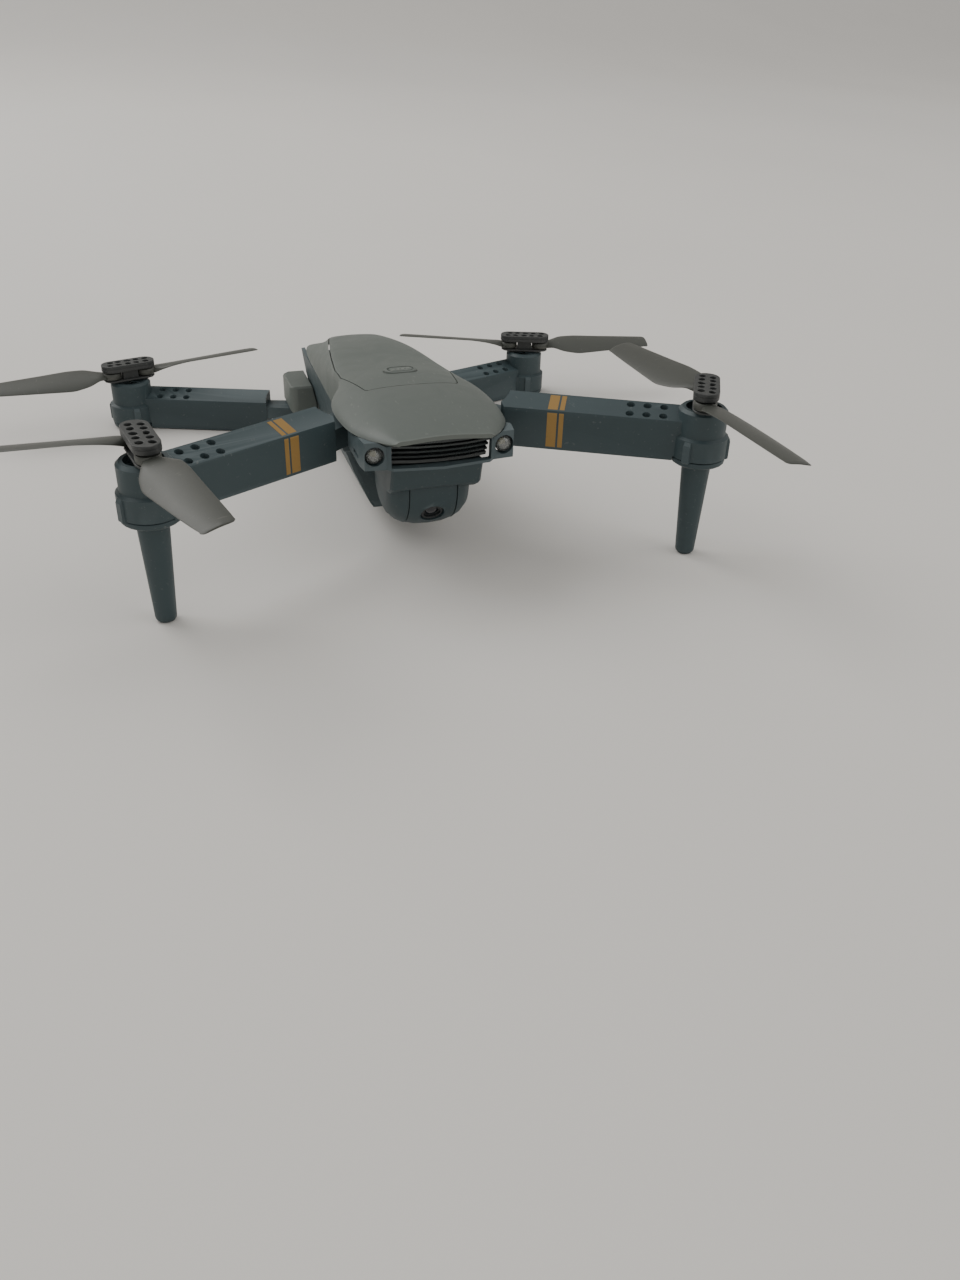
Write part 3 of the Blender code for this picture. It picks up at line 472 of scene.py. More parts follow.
class Workshop:
    """Mesh tools shared by the sub-assemblies."""

    @staticmethod
    def finish_mesh(shape: bmesh.types.BMesh, name: str) -> bpy.types.Object:
        """Turn a bmesh into an object in the scene, with its faces pointing out."""
        bmesh.ops.recalc_face_normals(shape, faces=shape.faces)
        mesh = bpy.data.meshes.new(name)
        shape.to_mesh(mesh)
        shape.free()
        return added(name, mesh)

    @staticmethod
    def bake(made: bpy.types.Object) -> bpy.types.Object:
        """Apply an object's modifiers to its mesh."""
        bpy.context.view_layer.update()
        solved = made.evaluated_get(bpy.context.evaluated_depsgraph_get())
        mesh = bpy.data.meshes.new_from_object(solved)
        made.modifiers.clear()
        made.data = mesh
        return made

    @staticmethod
    def smooth(made: bpy.types.Object, angle: float = 38.0) -> bpy.types.Object:
        """Smooth shading, with edges sharper than an angle kept crisp."""
        made.data.shade_smooth()
        made.data.set_sharp_from_angle(angle=radians(angle))
        return made

    @classmethod
    def loft(cls, name: str, rings: Sequence[Sequence[Point3]], closed: bool = True) -> bpy.types.Object:
        """Skin a row of rings, with both ends capped where the rings are loops.

        Args:
            name: The object's name.
            rings: Rings of the same number of points, in millimetres of their own frame.
            closed: Whether each ring is a loop.

        Returns:
            The new object.
        """
        shape = bmesh.new()
        rows = [[shape.verts.new(Vector(point) * MM) for point in ring] for ring in rings]
        count = len(rings[0])
        last = count if closed else count - 1
        for row, above in zip(rows, rows[1:]):
            for step in range(last):
                after = (step + 1) % count
                shape.faces.new((row[step], row[after], above[after], above[step]))
        if closed:
            shape.faces.new(list(reversed(rows[0])))
            shape.faces.new(rows[-1])
        return cls.finish_mesh(shape, name)

    @classmethod
    def turned(cls, name: str, profile: Sequence[Point2], steps: int = 72) -> bpy.types.Object:
        """Turn a profile of (radius, height) points about Z; both ends lie on the axis or are capped."""
        rings = []
        for radius, height in profile:
            size = max(radius, 0.001)
            rings.append([(size * cos(2 * pi * step / steps), size * sin(2 * pi * step / steps), height)
                          for step in range(steps)])
        return cls.loft(name, rings)

    @staticmethod
    def stadium(length: float, width: float, steps: int = 14) -> list[Point2]:
        """Outline of a slot with round ends, along X."""
        radius = width / 2
        reach = length / 2 - radius
        ring = []
        for middle, start in ((reach, -90.0), (-reach, 90.0)):
            for step in range(steps + 1):
                turn = radians(start + 180.0 * step / steps)
                ring.append((middle + radius * cos(turn), radius * sin(turn)))
        return ring

    @classmethod
    def slot_stack(cls, name: str, length: float, width: float,
                   layers: Sequence[Point2]) -> bpy.types.Object:
        """A solid with a slot-shaped plan.

        Args:
            name: The object's name.
            length: Plan length.
            width: Plan width.
            layers: (inset, height) of each ring, from the bottom up.

        Returns:
            The new object.
        """
        rings = []
        for inset, height in layers:
            outline = cls.stadium(length - 2 * inset, width - 2 * inset)
            rings.append([(x, y, height) for x, y in outline])
        return cls.loft(name, rings)

    @classmethod
    def refined(cls, node: str, name: str, width: float, angle: float = 32.0,
                segments: int = 3) -> bpy.types.Object:
        """A copy of a frame node with its flat faces made whole and its edges rounded.

        Args:
            node: The frame node it is taken from.
            name: The new object's name.
            width: Edge radius in millimetres.
            angle: Edges sharper than this are rounded.
            segments: Steps across each rounded edge.

        Returns:
            The new object, in place.
        """
        shape = bmesh.new()
        shape.from_mesh(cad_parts[node].data)
        bmesh.ops.remove_doubles(shape, verts=shape.verts, dist=2e-6)
        bmesh.ops.dissolve_limit(shape, angle_limit=radians(0.6), verts=shape.verts, edges=shape.edges)
        made = cls.finish_mesh(shape, name)
        bevel = made.modifiers.new("edge", "BEVEL")
        bevel.width = width * MM
        bevel.segments = segments
        bevel.limit_method = "ANGLE"
        bevel.angle_limit = radians(angle)
        bevel.use_clamp_overlap = True
        bevel.harden_normals = False
        cls.bake(made)
        cls.smooth(made, 40.0)
        level = made.modifiers.new("level", "WEIGHTED_NORMAL")
        level.keep_sharp = True
        return cls.bake(made)

    @classmethod
    def merged(cls, name: str, parts: Iterable[bpy.types.Object]) -> bpy.types.Object:
        """Join objects into one, keeping each face's material."""
        shape = bmesh.new()
        materials: list[bpy.types.Material] = []
        for part in parts:
            bpy.context.view_layer.update()
            start = len(shape.faces)
            mesh = part.data.copy()
            mesh.transform(part.matrix_world)
            shape.from_mesh(mesh)
            shape.faces.ensure_lookup_table()
            for face in shape.faces[start:]:
                local = part.data.materials[face.material_index] if part.data.materials else None
                if local not in materials:
                    materials.append(local)
                face.material_index = materials.index(local)
            bpy.data.objects.remove(part)
        mesh = bpy.data.meshes.new(name)
        shape.to_mesh(mesh)
        shape.free()
        for material in materials:
            mesh.materials.append(material)
        return added(name, mesh)


@dataclass
class SubAssembly:
    """A group of pieces that is built and dressed together."""

    finishes: Finishes
    shop: type[Workshop] = Workshop

    def build(self) -> None:
        """Build the group; each kind of group has its own."""
        raise NotImplementedError

    def fit(self, made: bpy.types.Object, body: str, material: bpy.types.Material | None, slot: str,
            *nodes: str) -> bpy.types.Object:
        """Dress a piece and hang it on its body.

        Args:
            made: The piece, in place.
            body: The body it rides on.
            material: Its finish, or None where it has one already.
            slot: Not used.
            *nodes: The frame nodes it stands for.

        Returns:
            The piece.
        """
        if material is not None:
            made.data.materials.clear()
            made.data.materials.append(material)
        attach(made, body)
        if nodes:
            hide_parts(*nodes)
        LOG.info("%s rides on %s", made.name, body)
        return made

    def dress(self, node: str, name: str, width: float, body: str, material: bpy.types.Material, slot: str,
              angle: float = 32.0) -> None:
        """Round the edges of a frame node and fit the result in its place.

        Args:
            node: The frame node.
            name: The new piece's name.
            width: Edge radius in millimetres.
            body: The body it rides on.
            material: Its finish.
            slot: Not used; it is passed on to fit, which ignores it.
            angle: Edges sharper than this are rounded.
        """
        self.fit(self.shop.refined(node, name, width, angle), body, material, slot, node)


# ---------------------------------------------------------------- body


@dataclass
class TopShell(SubAssembly):
    """The tapered upper shell with its long cover panel and power button."""

    wall: float = 1.3
    hump_start: float = 10.0
    seam: float = 0.3
    stations: tuple[tuple[float, ...], ...] = (
        (-53.0, 11.0, 45.6, 46.4, 13.6, 45.3, 14.2, 44.7),
        (-46.0, 13.5, 46.4, 47.5, 17.8, 44.9, 18.8, 43.6),
        (-38.0, 14.0, 47.3, 48.4, 21.8, 44.5, 22.8, 43.0),
        (-27.0, 14.0, 48.0, 49.1, 23.0, 44.3, 24.0, 42.6),
        (-17.5, 13.8, 48.2, 49.4, 23.2, 44.2, 24.1, 42.4),
        (-8.0, 15.8, 47.0, 49.0, 22.0, 44.0, 22.8, 42.4),
        (-1.0, 17.0, 45.8, 48.3, 18.6, 43.6, 18.8, 42.0),
        (5.0, 17.2, 45.1, 47.5, 17.8, 42.5, 17.6, 37.0),
        (14.0, 16.8, 44.4, 46.3, 17.4, 42.0, 17.3, 31.2),
        (30.0, 15.2, 43.6, 44.9, 16.8, 40.5, 16.9, 31.2),
        (44.0, 13.2, 42.4, 43.5, 16.4, 38.8, 16.7, 31.2),
        (58.0, 10.6, 40.3, 41.1, 15.8, 36.9, 16.6, 31.2),
        (67.5, 8.8, 38.5, 39.1, 15.2, 35.4, 16.3, 31.2),
        (74.0, 8.4, 35.3, 35.8, 14.2, 33.8, 15.8, 31.2),
        (81.0, 8.0, 32.6, 32.8, 13.0, 32.0, 14.6, 31.2),
    )
    panel: tuple[Point2, ...] = ((0.0, -19.2), (13.4, -18.0), (14.2, -16.8), (17.1, 3.0), (16.5, 16.0),
                                 (14.9, 30.0), (12.9, 44.0), (10.3, 58.0), (8.6, 66.8), (0.0, 67.6))
    button_y: float = -3.5
    button_size: Point2 = (10.0, 6.0)

    def section(self, y: float, panel_x: float, panel_z: float, crown_z: float, shoulder_x: float,
                shoulder_z: float, lip_x: float, lip_z: float) -> list[Point3]:
        """One cross-section of the shell, from the left lip to the right one."""
        soft_x = panel_x * 0.6
        soft_z = crown_z - (crown_z - panel_z) * 0.35
        if y > self.hump_start:
            foot = (panel_x + 0.35, max(shoulder_z + 0.2, panel_z - 2.0))
        else:
            foot = ((panel_x + shoulder_x) / 2, (panel_z + shoulder_z) / 2 + 0.35)
        half = [(lip_x, lip_z), (shoulder_x, shoulder_z), foot, (panel_x, panel_z), (soft_x, soft_z)]
        left = [(-x, y + DATUM_Y, z) for x, z in half]
        right = [(x, y + DATUM_Y, z) for x, z in reversed(half)]
        return left + [(0.0, y + DATUM_Y, crown_z)] + right

    def skin(self, name: str) -> bpy.types.Object:
        """The whole shell as one thick smooth skin."""
        made = self.shop.loft(name, [self.section(*row) for row in self.stations], closed=False)
        soft = made.modifiers.new("soft", "SUBSURF")
        soft.levels = 3
        soft.render_levels = 3
        thick = made.modifiers.new("wall", "SOLIDIFY")
        thick.thickness = self.wall * MM
        thick.offset = -1.0
        return self.shop.bake(made)

    def outline(self, grow: float) -> list[Point2]:
        """The panel's outline, moved out by an amount."""
        middle = (self.panel[0][1] + self.panel[-1][1]) / 2
        half = (self.panel[-1][1] - self.panel[0][1]) / 2
        right = [(x + grow if x > 0 else 0.0, middle + (y - middle) * (half + grow) / half + DATUM_Y)
                 for x, y in self.panel]
        return right + [(-x, y) for x, y in reversed(right) if x > 0]

    def cutter(self, name: str, outline: Sequence[Point2], low: float, high: float) -> bpy.types.Object:
        """A straight-sided block used to cut the skin."""
        return self.shop.loft(name, [[(x, y, z) for x, y in outline] for z in (low, high)])

    def trim(self, made: bpy.types.Object, tool: bpy.types.Object, operation: str) -> None:
        """Cut a skin with a tool and throw the tool away."""
        knife = made.modifiers.new("knife", "BOOLEAN")
        knife.operation = operation
        knife.object = tool
        knife.solver = "EXACT"
        self.shop.bake(made)
        bpy.data.objects.remove(tool)

    def build(self) -> None:
        """Build the shell, its panel and the button."""
        shell = self.skin("top_shell_skin")
        self.trim(shell, self.cutter("opening", self.outline(self.seam / 2), 30.0, 60.0), "DIFFERENCE")
        self.fit(self.shop.smooth(shell, 50.0), "body", self.finishes.top, "top_shell", "upper_shell")
        panel = self.skin("cover_panel_skin")
        self.trim(panel, self.cutter("edge", self.outline(-self.seam / 2), 30.0, 60.0), "INTERSECT")
        hole = [(x, y + self.button_y + DATUM_Y) for x, y in self.shop.stadium(10.5, 6.5)]
        self.trim(panel, self.cutter("button_hole", hole, 40.0, 60.0), "DIFFERENCE")
        self.fit(self.shop.smooth(panel, 50.0), "body", self.finishes.top, "top_shell", "top_panel")
        self.build_button()

    def build_button(self) -> None:
        """The power key: a slot-shaped cap with a groove and three small raised dots."""
        low, high = 45.4, 48.85
        layers = [(0.0, low), (0.0, high - 0.4), (0.12, high - 0.12), (0.35, high), (0.85, high),
                  (0.95, high - 0.3), (1.25, high - 0.3), (1.35, high - 0.03), (2.2, high)]
        cap = self.shop.slot_stack("power_key_cap", *self.button_size, layers)
        dots = []
        for index in range(3):
            dot = self.shop.turned(f"key_dot_{index}", [(0.0, -0.05), (0.34, -0.05), (0.32, 0.07), (0.18, 0.14),
                                                       (0.0, 0.16)], 24)
            dot.location = Vector((-1.5 + 1.5 * index, 0.0, high)) * MM
            dots.append(dot)
        key = self.shop.merged("power_key", [cap, *dots])
        key.location = at(0.0, self.button_y, 0.0)
        self.fit(self.shop.smooth(key), "button", self.finishes.top, "top_shell", "power_button")


@dataclass
class Belly(SubAssembly):
    """The slate lower body: hull, hinge blocks, screws and what they carry."""

    edge: float = 0.35
    screw_radius: float = 1.5
    screw_height: float = 7.95
    slot_half: Point2 = (0.9, 0.16)
    screws: tuple[Point2, ...] = ((8.6, 0.5), (-8.6, 0.5), (8.6, 32.0), (-8.6, 32.0), (8.6, 70.0), (-8.6, 70.0))

    def screw(self, name: str, x: float, y: float) -> bpy.types.Object:
        """A small cross-head screw under the belly, head down.

        Args:
            name: The object's name.
            x: Place across the drone.
            y: Place along the drone.

        Returns:
            The screw.
        """
        radius = self.screw_radius
        head = self.shop.turned(name, [(0.0, 0.6), (radius, 0.6), (radius, 0.12), (radius - 0.3, -0.1),
                                       (0.0, -0.14)], 32)
        tools = []
        for half_x, half_y in (self.slot_half, self.slot_half[::-1]):
            outline = ((-half_x, -half_y), (half_x, -half_y), (half_x, half_y), (-half_x, half_y))
            tool = self.shop.loft("slot", [[(u, v, height) for u, v in outline] for height in (-1.0, 0.25)])
            knife = head.modifiers.new("knife", "BOOLEAN")
            knife.operation = "DIFFERENCE"
            knife.object = tool
            tools.append(tool)
        self.shop.bake(head)
        for tool in tools:
            bpy.data.objects.remove(tool)
        head.location = at(x, y, self.screw_height)
        return self.shop.smooth(head, 30.0)

    def build(self) -> None:
        """Dress the hull and everything fixed to it."""
        looks = self.finishes
        self.dress("lower_hull", "lower_hull_moulded", self.edge, "body", looks.hull, "hull")
        for side in Side:
            node = f"front_hinge_bracket_{side.name.lower()}"
            self.dress(node, f"{node}_moulded", 0.25, "body", looks.hull, "hull")
        for side in Side:
            node = f"rear_hinge_block_{side.name.lower()}"
            self.dress(node, f"{node}_moulded", 0.45, "body", looks.top, "top_shell")
        for index, (x, y) in enumerate(self.screws):
            self.fit(self.screw(f"belly_screw_{index}", x, y), "body", looks.steel, "steel")
        for end in End:
            for side in Side:
                node = f"hinge_pin_{end.value}_{side.name.lower()}"
                self.dress(node, f"{node}_turned", 0.15, "body", looks.steel, "steel")
        self.dress("camera_axle", "camera_axle_turned", 0.15, "body", looks.steel, "steel")
        self.dress("main_board", "main_board_etched", 0.1, "body", looks.board, "board")
        self.dress("battery_case", "battery_case_moulded", 0.4, "battery", looks.hull, "hull")
        self.dress("battery_cell", "battery_cell_wrapped", 0.8, "battery", looks.foil, "cell")


@dataclass
class Nose(SubAssembly):
    """The nose band with its grille and two clear lamps."""

    lamp_centre: Point3 = (18.6, -46.8, 40.0)

    def lamp(self, side: Side) -> None:
        """One lamp: a dark cup, a light chip and a clear dome."""
        cup = self.shop.turned("cup", [(0.0, -0.75), (0.7, -0.7), (1.4, -0.35), (2.0, 0.35), (2.3, 0.4),
                                       (2.38, 0.2), (2.38, -0.8), (0.0, -0.8)], 48)
        cup.data.materials.append(self.finishes.trim)
        chip = self.shop.slot_stack("chip", 1.3, 1.1, [(0.0, -0.8), (0.0, -0.35), (0.15, -0.25)])
        chip.data.materials.append(self.finishes.lamp_chip)
        dome = self.shop.turned("dome", [(0.0, 1.6), (0.5, 1.55), (0.95, 1.42), (1.35, 1.2), (1.75, 0.85),
                                         (2.05, 0.5), (2.15, 0.42), (0.0, 0.42)], 48)
        dome.data.materials.append(self.finishes.clear)
        name = f"headlamp_{side.name.lower()}"
        made = self.shop.merged(f"{name}_unit", [cup, chip, dome])
        made.rotation_euler = (pi / 2, 0.0, 0.0)
        x, y, z = self.lamp_centre
        made.location = at(side.value * x, y, z)
        self.fit(self.shop.smooth(made), "body", None, "lens", name)

    def build(self) -> None:
        """Dress the band, the grille and both lamps."""
        self.dress("nose_bezel", "nose_band", 0.4, "body", self.finishes.hull, "hull")
        self.dress("front_grille", "grille_slats", 0.12, "body", self.finishes.trim, "dark_trim")
        for side in Side:
            self.lamp(side)


@dataclass
class CameraPod(SubAssembly):
    """The chin fairing and the tilting camera barrel with its lens."""

    centre: Point2 = (-28.0, 24.5)
    lens_turn: float = 212.0

    def lens(self) -> None:
        """Lens stack: outer ring, stepped baffle and a domed front glass."""
        ring = self.shop.turned("ring", [(0.0, 11.3), (3.3, 11.3), (3.3, 13.3), (3.2, 13.55), (2.9, 13.62),
                                         (2.6, 13.55), (2.5, 13.3), (2.45, 12.9), (2.1, 12.8), (2.05, 12.5),
                                         (0.0, 12.5)], 64)
        ring.data.materials.append(self.finishes.trim)
        glass = self.shop.turned("glass", [(0.0, 12.4), (1.75, 12.4), (1.75, 12.75), (1.5, 12.98), (1.0, 13.15),
                                           (0.5, 13.23), (0.0, 13.26)], 64)
        glass.data.materials.append(self.finishes.glass)
        made = self.shop.merged("camera_lens_stack", [ring, glass])
        turn = radians(self.lens_turn)
        aim = Vector((0.0, cos(turn), sin(turn)))
        made.rotation_euler = aim.to_track_quat("Z", "X").to_euler()
        made.location = at(0.0, *self.centre)
        self.fit(self.shop.smooth(made), "camera", None, "lens", "camera_lens")

    def build(self) -> None:
        """Dress the fairing, the barrel and the lens."""
        self.dress("chin_fairing", "chin_cowl", 0.3, "body", self.finishes.hull, "hull")
        self.dress("camera_barrel", "camera_drum", 0.3, "camera", self.finishes.hull, "hull")
        self.lens()


# ---------------------------------------------------------------- arms and propellers


@dataclass(frozen=True)
class Corner:
    """One corner of the airframe: arm, motor and propeller."""

    end: End
    side: Side
    pivot: Point2
    offset: float
    arm_top: float
    hub: Point2
    hub_top: float
    cap_turn: float
    blade_turns: Point2
    spin: Spin

    @property
    def label(self) -> str:
        """The corner's name in the frame."""
        return f"{self.end.value}_{self.side.name.lower()}"

    def arm_axes(self) -> tuple[Vector, Vector, Vector, float]:
        """Origin, along and across directions of the right-hand arm, and the motor's distance along it."""
        reach = Vector((self.hub[0] - self.pivot[0], self.hub[1] - self.pivot[1]))
        along = (reach.length ** 2 - self.offset ** 2) ** 0.5
        turn = atan2(reach.y, reach.x) + atan2(self.offset, along)
        return (Vector(self.pivot), Vector((cos(turn), sin(turn))), Vector((-sin(turn), cos(turn))), along)


def mirrored(right: Corner, cap_turn: float, blade_turns: Point2, spin: Spin) -> tuple[Corner, Corner]:
    """A right-hand corner and its twin, whose propeller stands at other angles."""
    return (right, replace(right, side=Side.LEFT, cap_turn=cap_turn, blade_turns=blade_turns, spin=spin))


CORNERS = (
    *mirrored(Corner(End.FRONT, Side.RIGHT, pivot=(18.8, -14.0), offset=5.0, arm_top=45.6, hub=(78.5, -51.1),
                     hub_top=53.8, cap_turn=-118.0, blade_turns=(-86.0, 100.5), spin=Spin.CLOCKWISE),
              -80.0, (-74.7, 178.5), Spin.ANTICLOCKWISE),
    *mirrored(Corner(End.REAR, Side.RIGHT, pivot=(18.5, 78.4), offset=0.0, arm_top=14.0, hub=(78.5, 99.5),
                     hub_top=24.3, cap_turn=-17.9, blade_turns=(-8.3, 152.6), spin=Spin.ANTICLOCKWISE),
              15.9, (20.5, 191.3), Spin.CLOCKWISE),
)


@dataclass
class Arm(SubAssembly):
    """A folding arm with its covers, motor, clips and stripes."""

    corner: Corner = field(default=CORNERS[0])
    width: float = 8.4
    height: float = 14.4
    drop: float = 2.4
    chamfer: float = 0.9
    film: float = 0.06
    sunk: float = 0.2
    back_reach: float = 1.2
    stripes: tuple[Point2, ...] = ((25.1, 28.0), (28.6, 30.0))
    skirt_radius: float = 8.2
    clip_turns: tuple[float, ...] = (0.0, 115.0, 245.0)
    clip_half: float = 1.3
    clip_below_top: float = 8.6
    clip_height: float = 6.6

    def stripe(self, index: int, start: float, stop: float) -> None:
        """A printed band over the arm's sloping top and its front face.

        Args:
            index: The band's number.
            start: Where it starts along the arm.
            stop: Where it ends.
        """
        corner = self.corner
        origin, along, across, _ = corner.arm_axes()
        front = -corner.offset - self.width / 2
        back = -corner.offset + self.width / 2
        top, bottom, cut, lift = corner.arm_top, corner.arm_top - self.height, self.chamfer, self.film
        crease = top - self.drop
        ease = cut * self.drop / self.width
        round_in = 0.29 * cut
        sunk, half_sunk, tail = self.sunk, self.sunk / 2, top - cut - self.back_reach
        outer = [(back + lift, tail), (back + lift, top - cut), (back - cut, top - ease + lift),
                 (front + cut, crease + ease + lift), (front + round_in - lift, crease - round_in + lift),
                 (front - lift, crease - cut), (front - lift, bottom + cut)]
        inner = [(back - sunk, tail), (back - sunk, top - cut - half_sunk),
                 (back - cut - half_sunk, top - ease - sunk), (front + cut + half_sunk, crease + ease - sunk),
                 (front + round_in + sunk, crease - round_in - sunk), (front + sunk, crease - cut - half_sunk),
                 (front + sunk, bottom + cut)]
        path = outer + list(reversed(inner))
        rings = []
        for distance in (start, stop):
            ring = []
            for v, z in path:
                spot = origin + along * distance + across * v
                ring.append((corner.side.value * spot.x, spot.y + DATUM_Y, z))
            rings.append(ring)
        made = self.shop.loft(f"stripe_{corner.label}_{index}", rings)
        self.fit(self.shop.smooth(made, 20.0), f"arm_{corner.label}_body", self.finishes.gold, "hull")

    def build(self) -> None:
        """Dress the arm, its covers and the motor, and add the clips and the stripes."""
        label = self.corner.label
        body = f"arm_{label}_body"
        hull = self.finishes.hull
        self.dress(f"arm_{label}", f"arm_{label}_moulded", 0.28, body, hull, "hull")
        self.dress(f"arm_cover_{label}", f"arm_cover_{label}_moulded", 0.25, body, hull, "hull")
        self.dress(f"pod_cover_{label}", f"pod_foot_{label}", 0.35, body, hull, "hull", 28.0)
        self.dress(f"motor_can_{label}", f"motor_{label}", 0.2, body, self.finishes.can, "motor")
        self.clips()
        if self.corner.end is End.FRONT:
            for index, (start, stop) in enumerate(self.stripes):
                self.stripe(index, start, stop)

    def clips(self) -> None:
        """Snap clips round the pod's skirt, one facing straight out from the arm."""
        corner = self.corner
        _, along, _, _ = corner.arm_axes()
        outward = atan2(along.y, along.x)
        _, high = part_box(f"arm_{corner.label}")
        top = high.z / MM - self.clip_below_top
        bottom = top - self.clip_height
        root, half = self.skirt_radius - 0.7, self.clip_half
        profile = ((bottom, 0.1, 0.4), (bottom + 0.4, 0.6, 0.2), (top - 1.0, 0.6, 0.2), (top, 0.0, 0.4))
        clips = []
        for index, turn in enumerate(self.clip_turns):
            clip = self.shop.loft(f"clip_{index}", [
                [(root, -half, z), (self.skirt_radius + out, ease - half, z),
                 (self.skirt_radius + out, half - ease, z), (root, half, z)] for z, out, ease in profile])
            heading = outward + radians(turn)
            if corner.side is Side.LEFT:
                heading = pi - heading
            clip.rotation_euler = (0.0, 0.0, heading)
            clip.location = at(corner.side.value * corner.hub[0], corner.hub[1], 0.0)
            clips.append(clip)
        made = self.shop.merged(f"pod_clips_{corner.label}", clips)
        self.fit(self.shop.smooth(made, 30.0), f"arm_{corner.label}_body", self.finishes.hull, "hull")


@dataclass
class Propeller(SubAssembly):
    """A hub with a pierced cap and two swinging blades."""

    corner: Corner = field(default=CORNERS[0])
    cap_length: float = 19.6
    cap_width: float = 7.4
    cap_depth: float = 2.5
    pin_reach: float = 6.4
    lug_below_top: float = 4.1
    lug_radius: float = 3.3
    lug_thick: float = 2.2
    pin_room: float = 1.2
    cells: int = 10
    cell_pitch: float = 3.25
    first_cell: float = -6.5
    skin_half: float = 0.42
    skin_round: float = 0.16
    skin_drop: float = 0.58
    stations: tuple[tuple[float, ...], ...] = (
        (2.0, -2.9, 2.9, 0.0, 2.0), (5.0, -4.4, 4.6, 7.0, 1.7), (9.0, -6.9, 6.2, 15.0, 1.3),
        (15.0, -8.4, 6.3, 18.0, 1.1), (24.0, -7.4, 5.8, 16.0, 1.0), (34.0, -6.2, 5.4, 14.0, 0.9),
        (42.5, -5.0, 5.0, 12.0, 0.8), (44.6, -4.3, 4.7, 12.0, 0.7), (45.5, -3.4, 3.9, 12.0, 0.5))

    def centre(self) -> Point2:
        """The motor axis of this corner."""
        return (self.corner.side.value * self.corner.hub[0], self.corner.hub[1])

    def section(self, distance: float, trailing: float, leading: float, pitch: float, thick: float) -> list[Point3]:
        """A cambered ring across the blade."""
        ring = []
        chord = leading - trailing
        for share, rise in ((0.0, 0.0), (0.25, 0.45), (0.6, 0.5), (0.88, 0.35), (1.0, 0.0), (0.88, -0.3),
                            (0.6, -0.3), (0.25, -0.25)):
            y = trailing + chord * share
            camber = chord * 0.05 * (1 - (2 * share - 1) ** 2) if pitch else 0.0
            if not pitch:
                rise = 0.5 if rise > 0 else -0.5
            z = rise * thick + camber
            slope = radians(pitch)
            ring.append((distance, (y * cos(slope) - z * sin(slope)) * self.corner.spin.value,
                         y * sin(slope) + z * cos(slope)))
        return ring

    def blade(self, letter: str, pin_turn: float, rest_turn: float) -> None:
        """One blade with its pierced lug, pointing along its rest angle."""
        vane = self.shop.loft("vane", [self.section(*row) for row in self.stations])
        soft = vane.modifiers.new("soft", "SUBSURF")
        soft.levels = 3
        soft.render_levels = 3
        crease = vane.data.attributes.new("crease_edge", "FLOAT", "EDGE")
        for edge in vane.data.edges:
            first, second = (vane.data.vertices[index].co for index in edge.vertices)
            along = abs(first.x - second.x) > 1.0 * MM
            crease.data[edge.index].value = 0.0 if along else 0.35
        self.shop.bake(vane)
        half, bore, rim = self.lug_thick / 2, self.pin_room, self.lug_radius
        upper = [(bore, half - 0.2), (bore + 0.2, half), (rim - 0.3, half), (rim, half - 0.3)]
        lug = self.shop.turned("lug", upper + [(radius, -height) for radius, height in reversed(upper)], 48)
        made = self.shop.merged(f"blade_{self.corner.label}_{letter}_vane", [vane, lug])
        turn = radians(pin_turn)
        x, y = self.centre()
        made.location = at(x + self.pin_reach * cos(turn), y + self.pin_reach * sin(turn),
                           self.corner.hub_top - self.lug_below_top)
        made.rotation_euler = (0.0, 0.0, radians(rest_turn))
        self.fit(self.shop.smooth(made, 45.0), f"swing_{self.corner.label}_{letter}", self.finishes.blade, "prop",
                 f"blade_{self.corner.label}_{letter}")

    def lattice(self) -> bpy.types.Object:
        """The cap's upper skin, pierced by two rows of uneven cells."""
        drawing = bpy.data.curves.new("lattice", "CURVE")
        drawing.dimensions = "2D"
        drawing.fill_mode = "BOTH"
        drawing.extrude = self.skin_half * MM
        drawing.bevel_depth = self.skin_round * MM
        drawing.bevel_resolution = 2
        outer = drawing.splines.new("POLY")
        outline = self.shop.stadium(self.cap_length - 0.34, self.cap_width - 0.34, 16)
        outer.points.add(len(outline) - 1)
        for point, (x, y) in zip(outer.points, outline):
            point.co = (x * MM, y * MM, 0.0, 1.0)
        outer.use_cyclic_u = True
        for index in range(self.cells):
            column, row = divmod(index, 2)
            way = 1 if row else -1
            middle = Vector((self.first_cell + self.cell_pitch * column + way * 0.40, way * 1.55))
            cell = drawing.splines.new("BEZIER")
            corners = 3 + (index * 2 + row) % 3
            cell.bezier_points.add(corners - 1)
            for step, point in enumerate(cell.bezier_points):
                turn = 2 * pi * (step + 0.35 * sin(index * 2.3)) / corners
                reach = 1.14 + 0.20 * sin(index * 1.7 + step * 2.1)
                spot = middle + Vector((cos(turn) * 1.14, sin(turn) * 0.98)) * reach
                point.co = (spot.x * MM, spot.y * MM, 0.0)
                point.handle_left_type = "AUTO"
                point.handle_right_type = "AUTO"
            cell.use_cyclic_u = True
        holder = added("lattice", drawing)
        bpy.context.view_layer.update()
        solved = holder.evaluated_get(bpy.context.evaluated_depsgraph_get())
        mesh = bpy.data.meshes.new_from_object(solved)
        bpy.data.objects.remove(holder)
        made = added("lattice", mesh)
        made.location = Vector((0.0, 0.0, -self.skin_drop)) * MM
        return made

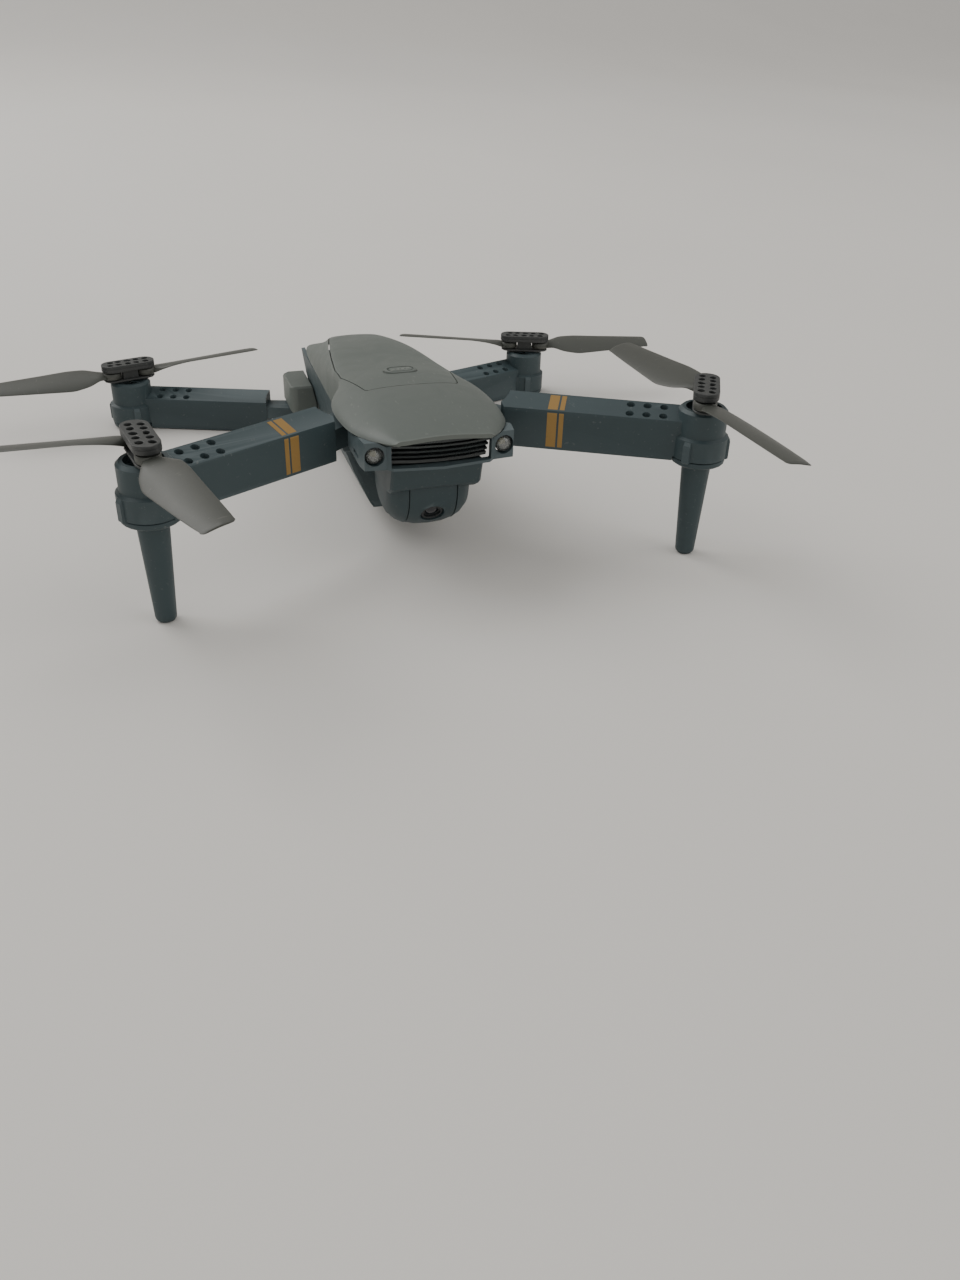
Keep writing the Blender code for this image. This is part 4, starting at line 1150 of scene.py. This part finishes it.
    def cap(self) -> None:
        """The hub's cap: a plain tray under the pierced skin, with a near-black floor inside as painted shade."""
        depth = self.cap_depth
        tray = self.shop.slot_stack("tray", self.cap_length, self.cap_width, [
            (0.4, -depth), (0.12, 0.12 - depth), (0.0, 0.4 - depth), (0.0, -1.2), (0.15, -1.1), (0.5, -1.08)])
        tray.data.materials.append(self.finishes.hub)
        skin = self.lattice()
        skin.data.materials.clear()
        skin.data.materials.append(self.finishes.hub)
        # Painted shade: a near-black floor under the cells stands in for the shade inside the cap.
        floor = self.shop.slot_stack("floor", self.cap_length - 1.0, self.cap_width - 1.0,
                                     [(0.0, -1.3), (0.0, -1.04)])
        floor.data.materials.append(self.finishes.painted_shade)
        made = self.shop.merged(f"hub_cap_{self.corner.label}_pierced", [tray, floor, skin])
        made.location = at(*self.centre(), self.corner.hub_top)
        made.rotation_euler = (0.0, 0.0, radians(self.corner.cap_turn))
        self.fit(self.shop.smooth(made), f"rotor_{self.corner.label}", None, "hub", f"hub_cap_{self.corner.label}")

    def build(self) -> None:
        """Build the cap and the blades, and dress the hub and shaft."""
        label = self.corner.label
        body = f"rotor_{label}"
        self.cap()
        self.dress(f"prop_hub_{label}", f"prop_hub_{label}_moulded", 0.15, body, self.finishes.hub, "hub")
        self.dress(f"motor_shaft_{label}", f"motor_shaft_{label}_ground", 0.08, body, self.finishes.steel, "steel")
        first, second = self.corner.blade_turns
        self.blade("a", self.corner.cap_turn, first)
        self.blade("b", self.corner.cap_turn + 180.0, second)


# ---------------------------------------------------------------- studio


@dataclass
class Studio:
    """Floor, soft light and camera."""

    finishes: Finishes
    camera_at: Point3 = (-79.76, -322.15, 157.13)
    yaw: float = 18.731
    pitch: float = 32.018
    roll: float = 1.776
    lens: float = 30.97
    sensor: float = 36.0
    aim: Point3 = (0.0, 0.0, 0.03)
    sheet_half: float = 4.0
    sweep: tuple[Point2, ...] = ((-3.0, 0.0), (0.5, 0.0), (1.2, 0.0), (1.6, 0.0), (2.2, 0.08), (2.7, 0.5),
                                 (2.9, 1.2), (3.0, 2.8))

    def floor(self) -> None:
        """A wide pale sheet that sweeps up behind the drone."""
        shape = bmesh.new()
        rows = []
        for y, z in self.sweep:
            rows.append((shape.verts.new((-self.sheet_half, y, z)), shape.verts.new((self.sheet_half, y, z))))
        for near, far in zip(rows, rows[1:]):
            shape.faces.new((near[0], near[1], far[1], far[0]))
        made = Workshop.finish_mesh(shape, "studio_floor")
        soft = made.modifiers.new("soft", "SUBSURF")
        soft.levels = 3
        soft.render_levels = 3
        made.data.shade_smooth()
        made.data.materials.append(self.finishes.floor)

    def lamp(self, name: str, place: Point3, size: float, power: float, colour: Colour) -> None:
        """A square soft light aimed at the drone."""
        data = bpy.data.lights.new(name, "AREA")
        data.shape = "SQUARE"
        data.size = size
        data.energy = power
        data.color = colour
        made = added(name, data)
        made.location = place
        made.rotation_euler = (Vector(self.aim) - Vector(place)).to_track_quat("-Z", "Y").to_euler()

    def sky(self) -> None:
        """An even pale surround."""
        world = bpy.data.worlds.new("surround")
        world.use_nodes = True
        glow = world.node_tree.nodes["Background"]
        glow.inputs["Color"].default_value = (0.80, 0.79, 0.77, 1.0)
        glow.inputs["Strength"].default_value = 0.75
        bpy.context.scene.world = world

    def camera(self) -> None:
        """The camera, at the height and angle of someone kneeling in front of the drone."""
        yaw, pitch, roll = radians(self.yaw), radians(self.pitch), radians(self.roll)
        ahead = Vector((sin(yaw) * cos(pitch), cos(yaw) * cos(pitch), -sin(pitch)))
        right = Vector((cos(yaw), -sin(yaw), 0.0))
        up = right.cross(ahead)
        side = right * cos(roll) + up * sin(roll)
        top = up * cos(roll) - right * sin(roll)
        data = bpy.data.cameras.new("camera")
        data.sensor_fit = "VERTICAL"
        data.sensor_height = self.sensor
        data.sensor_width = self.sensor
        data.lens = self.lens
        data.clip_start = 0.01
        made = added("camera", data)
        turn = Matrix((side, top, -ahead)).transposed().to_4x4()
        made.matrix_world = Matrix.Translation(at(*self.camera_at)) @ turn
        bpy.context.scene.camera = made

    def build(self) -> None:
        """Set up the studio."""
        self.floor()
        self.sky()
        self.lamp("window", (-0.9, 0.9, 1.3), 1.4, 19.0, (1.0, 0.99, 0.97))
        self.lamp("room", (1.2, -0.7, 1.2), 1.6, 6.5, (1.0, 0.98, 0.95))
        self.camera()


def main() -> None:
    """Build the drone piece by piece, then the studio around it."""
    logging.basicConfig(level=logging.INFO, format="%(message)s")
    finishes = Finishes()
    groups: list[SubAssembly] = [TopShell(finishes), Belly(finishes), Nose(finishes),
                                 CameraPod(finishes)]
    for corner in CORNERS:
        groups.append(Arm(finishes, corner=corner))
        groups.append(Propeller(finishes, corner=corner))
    for group in groups:
        group.build()
        LOG.info("%s finished", type(group).__name__)
    Studio(finishes).build()


if __name__ == "__main__":
    main()
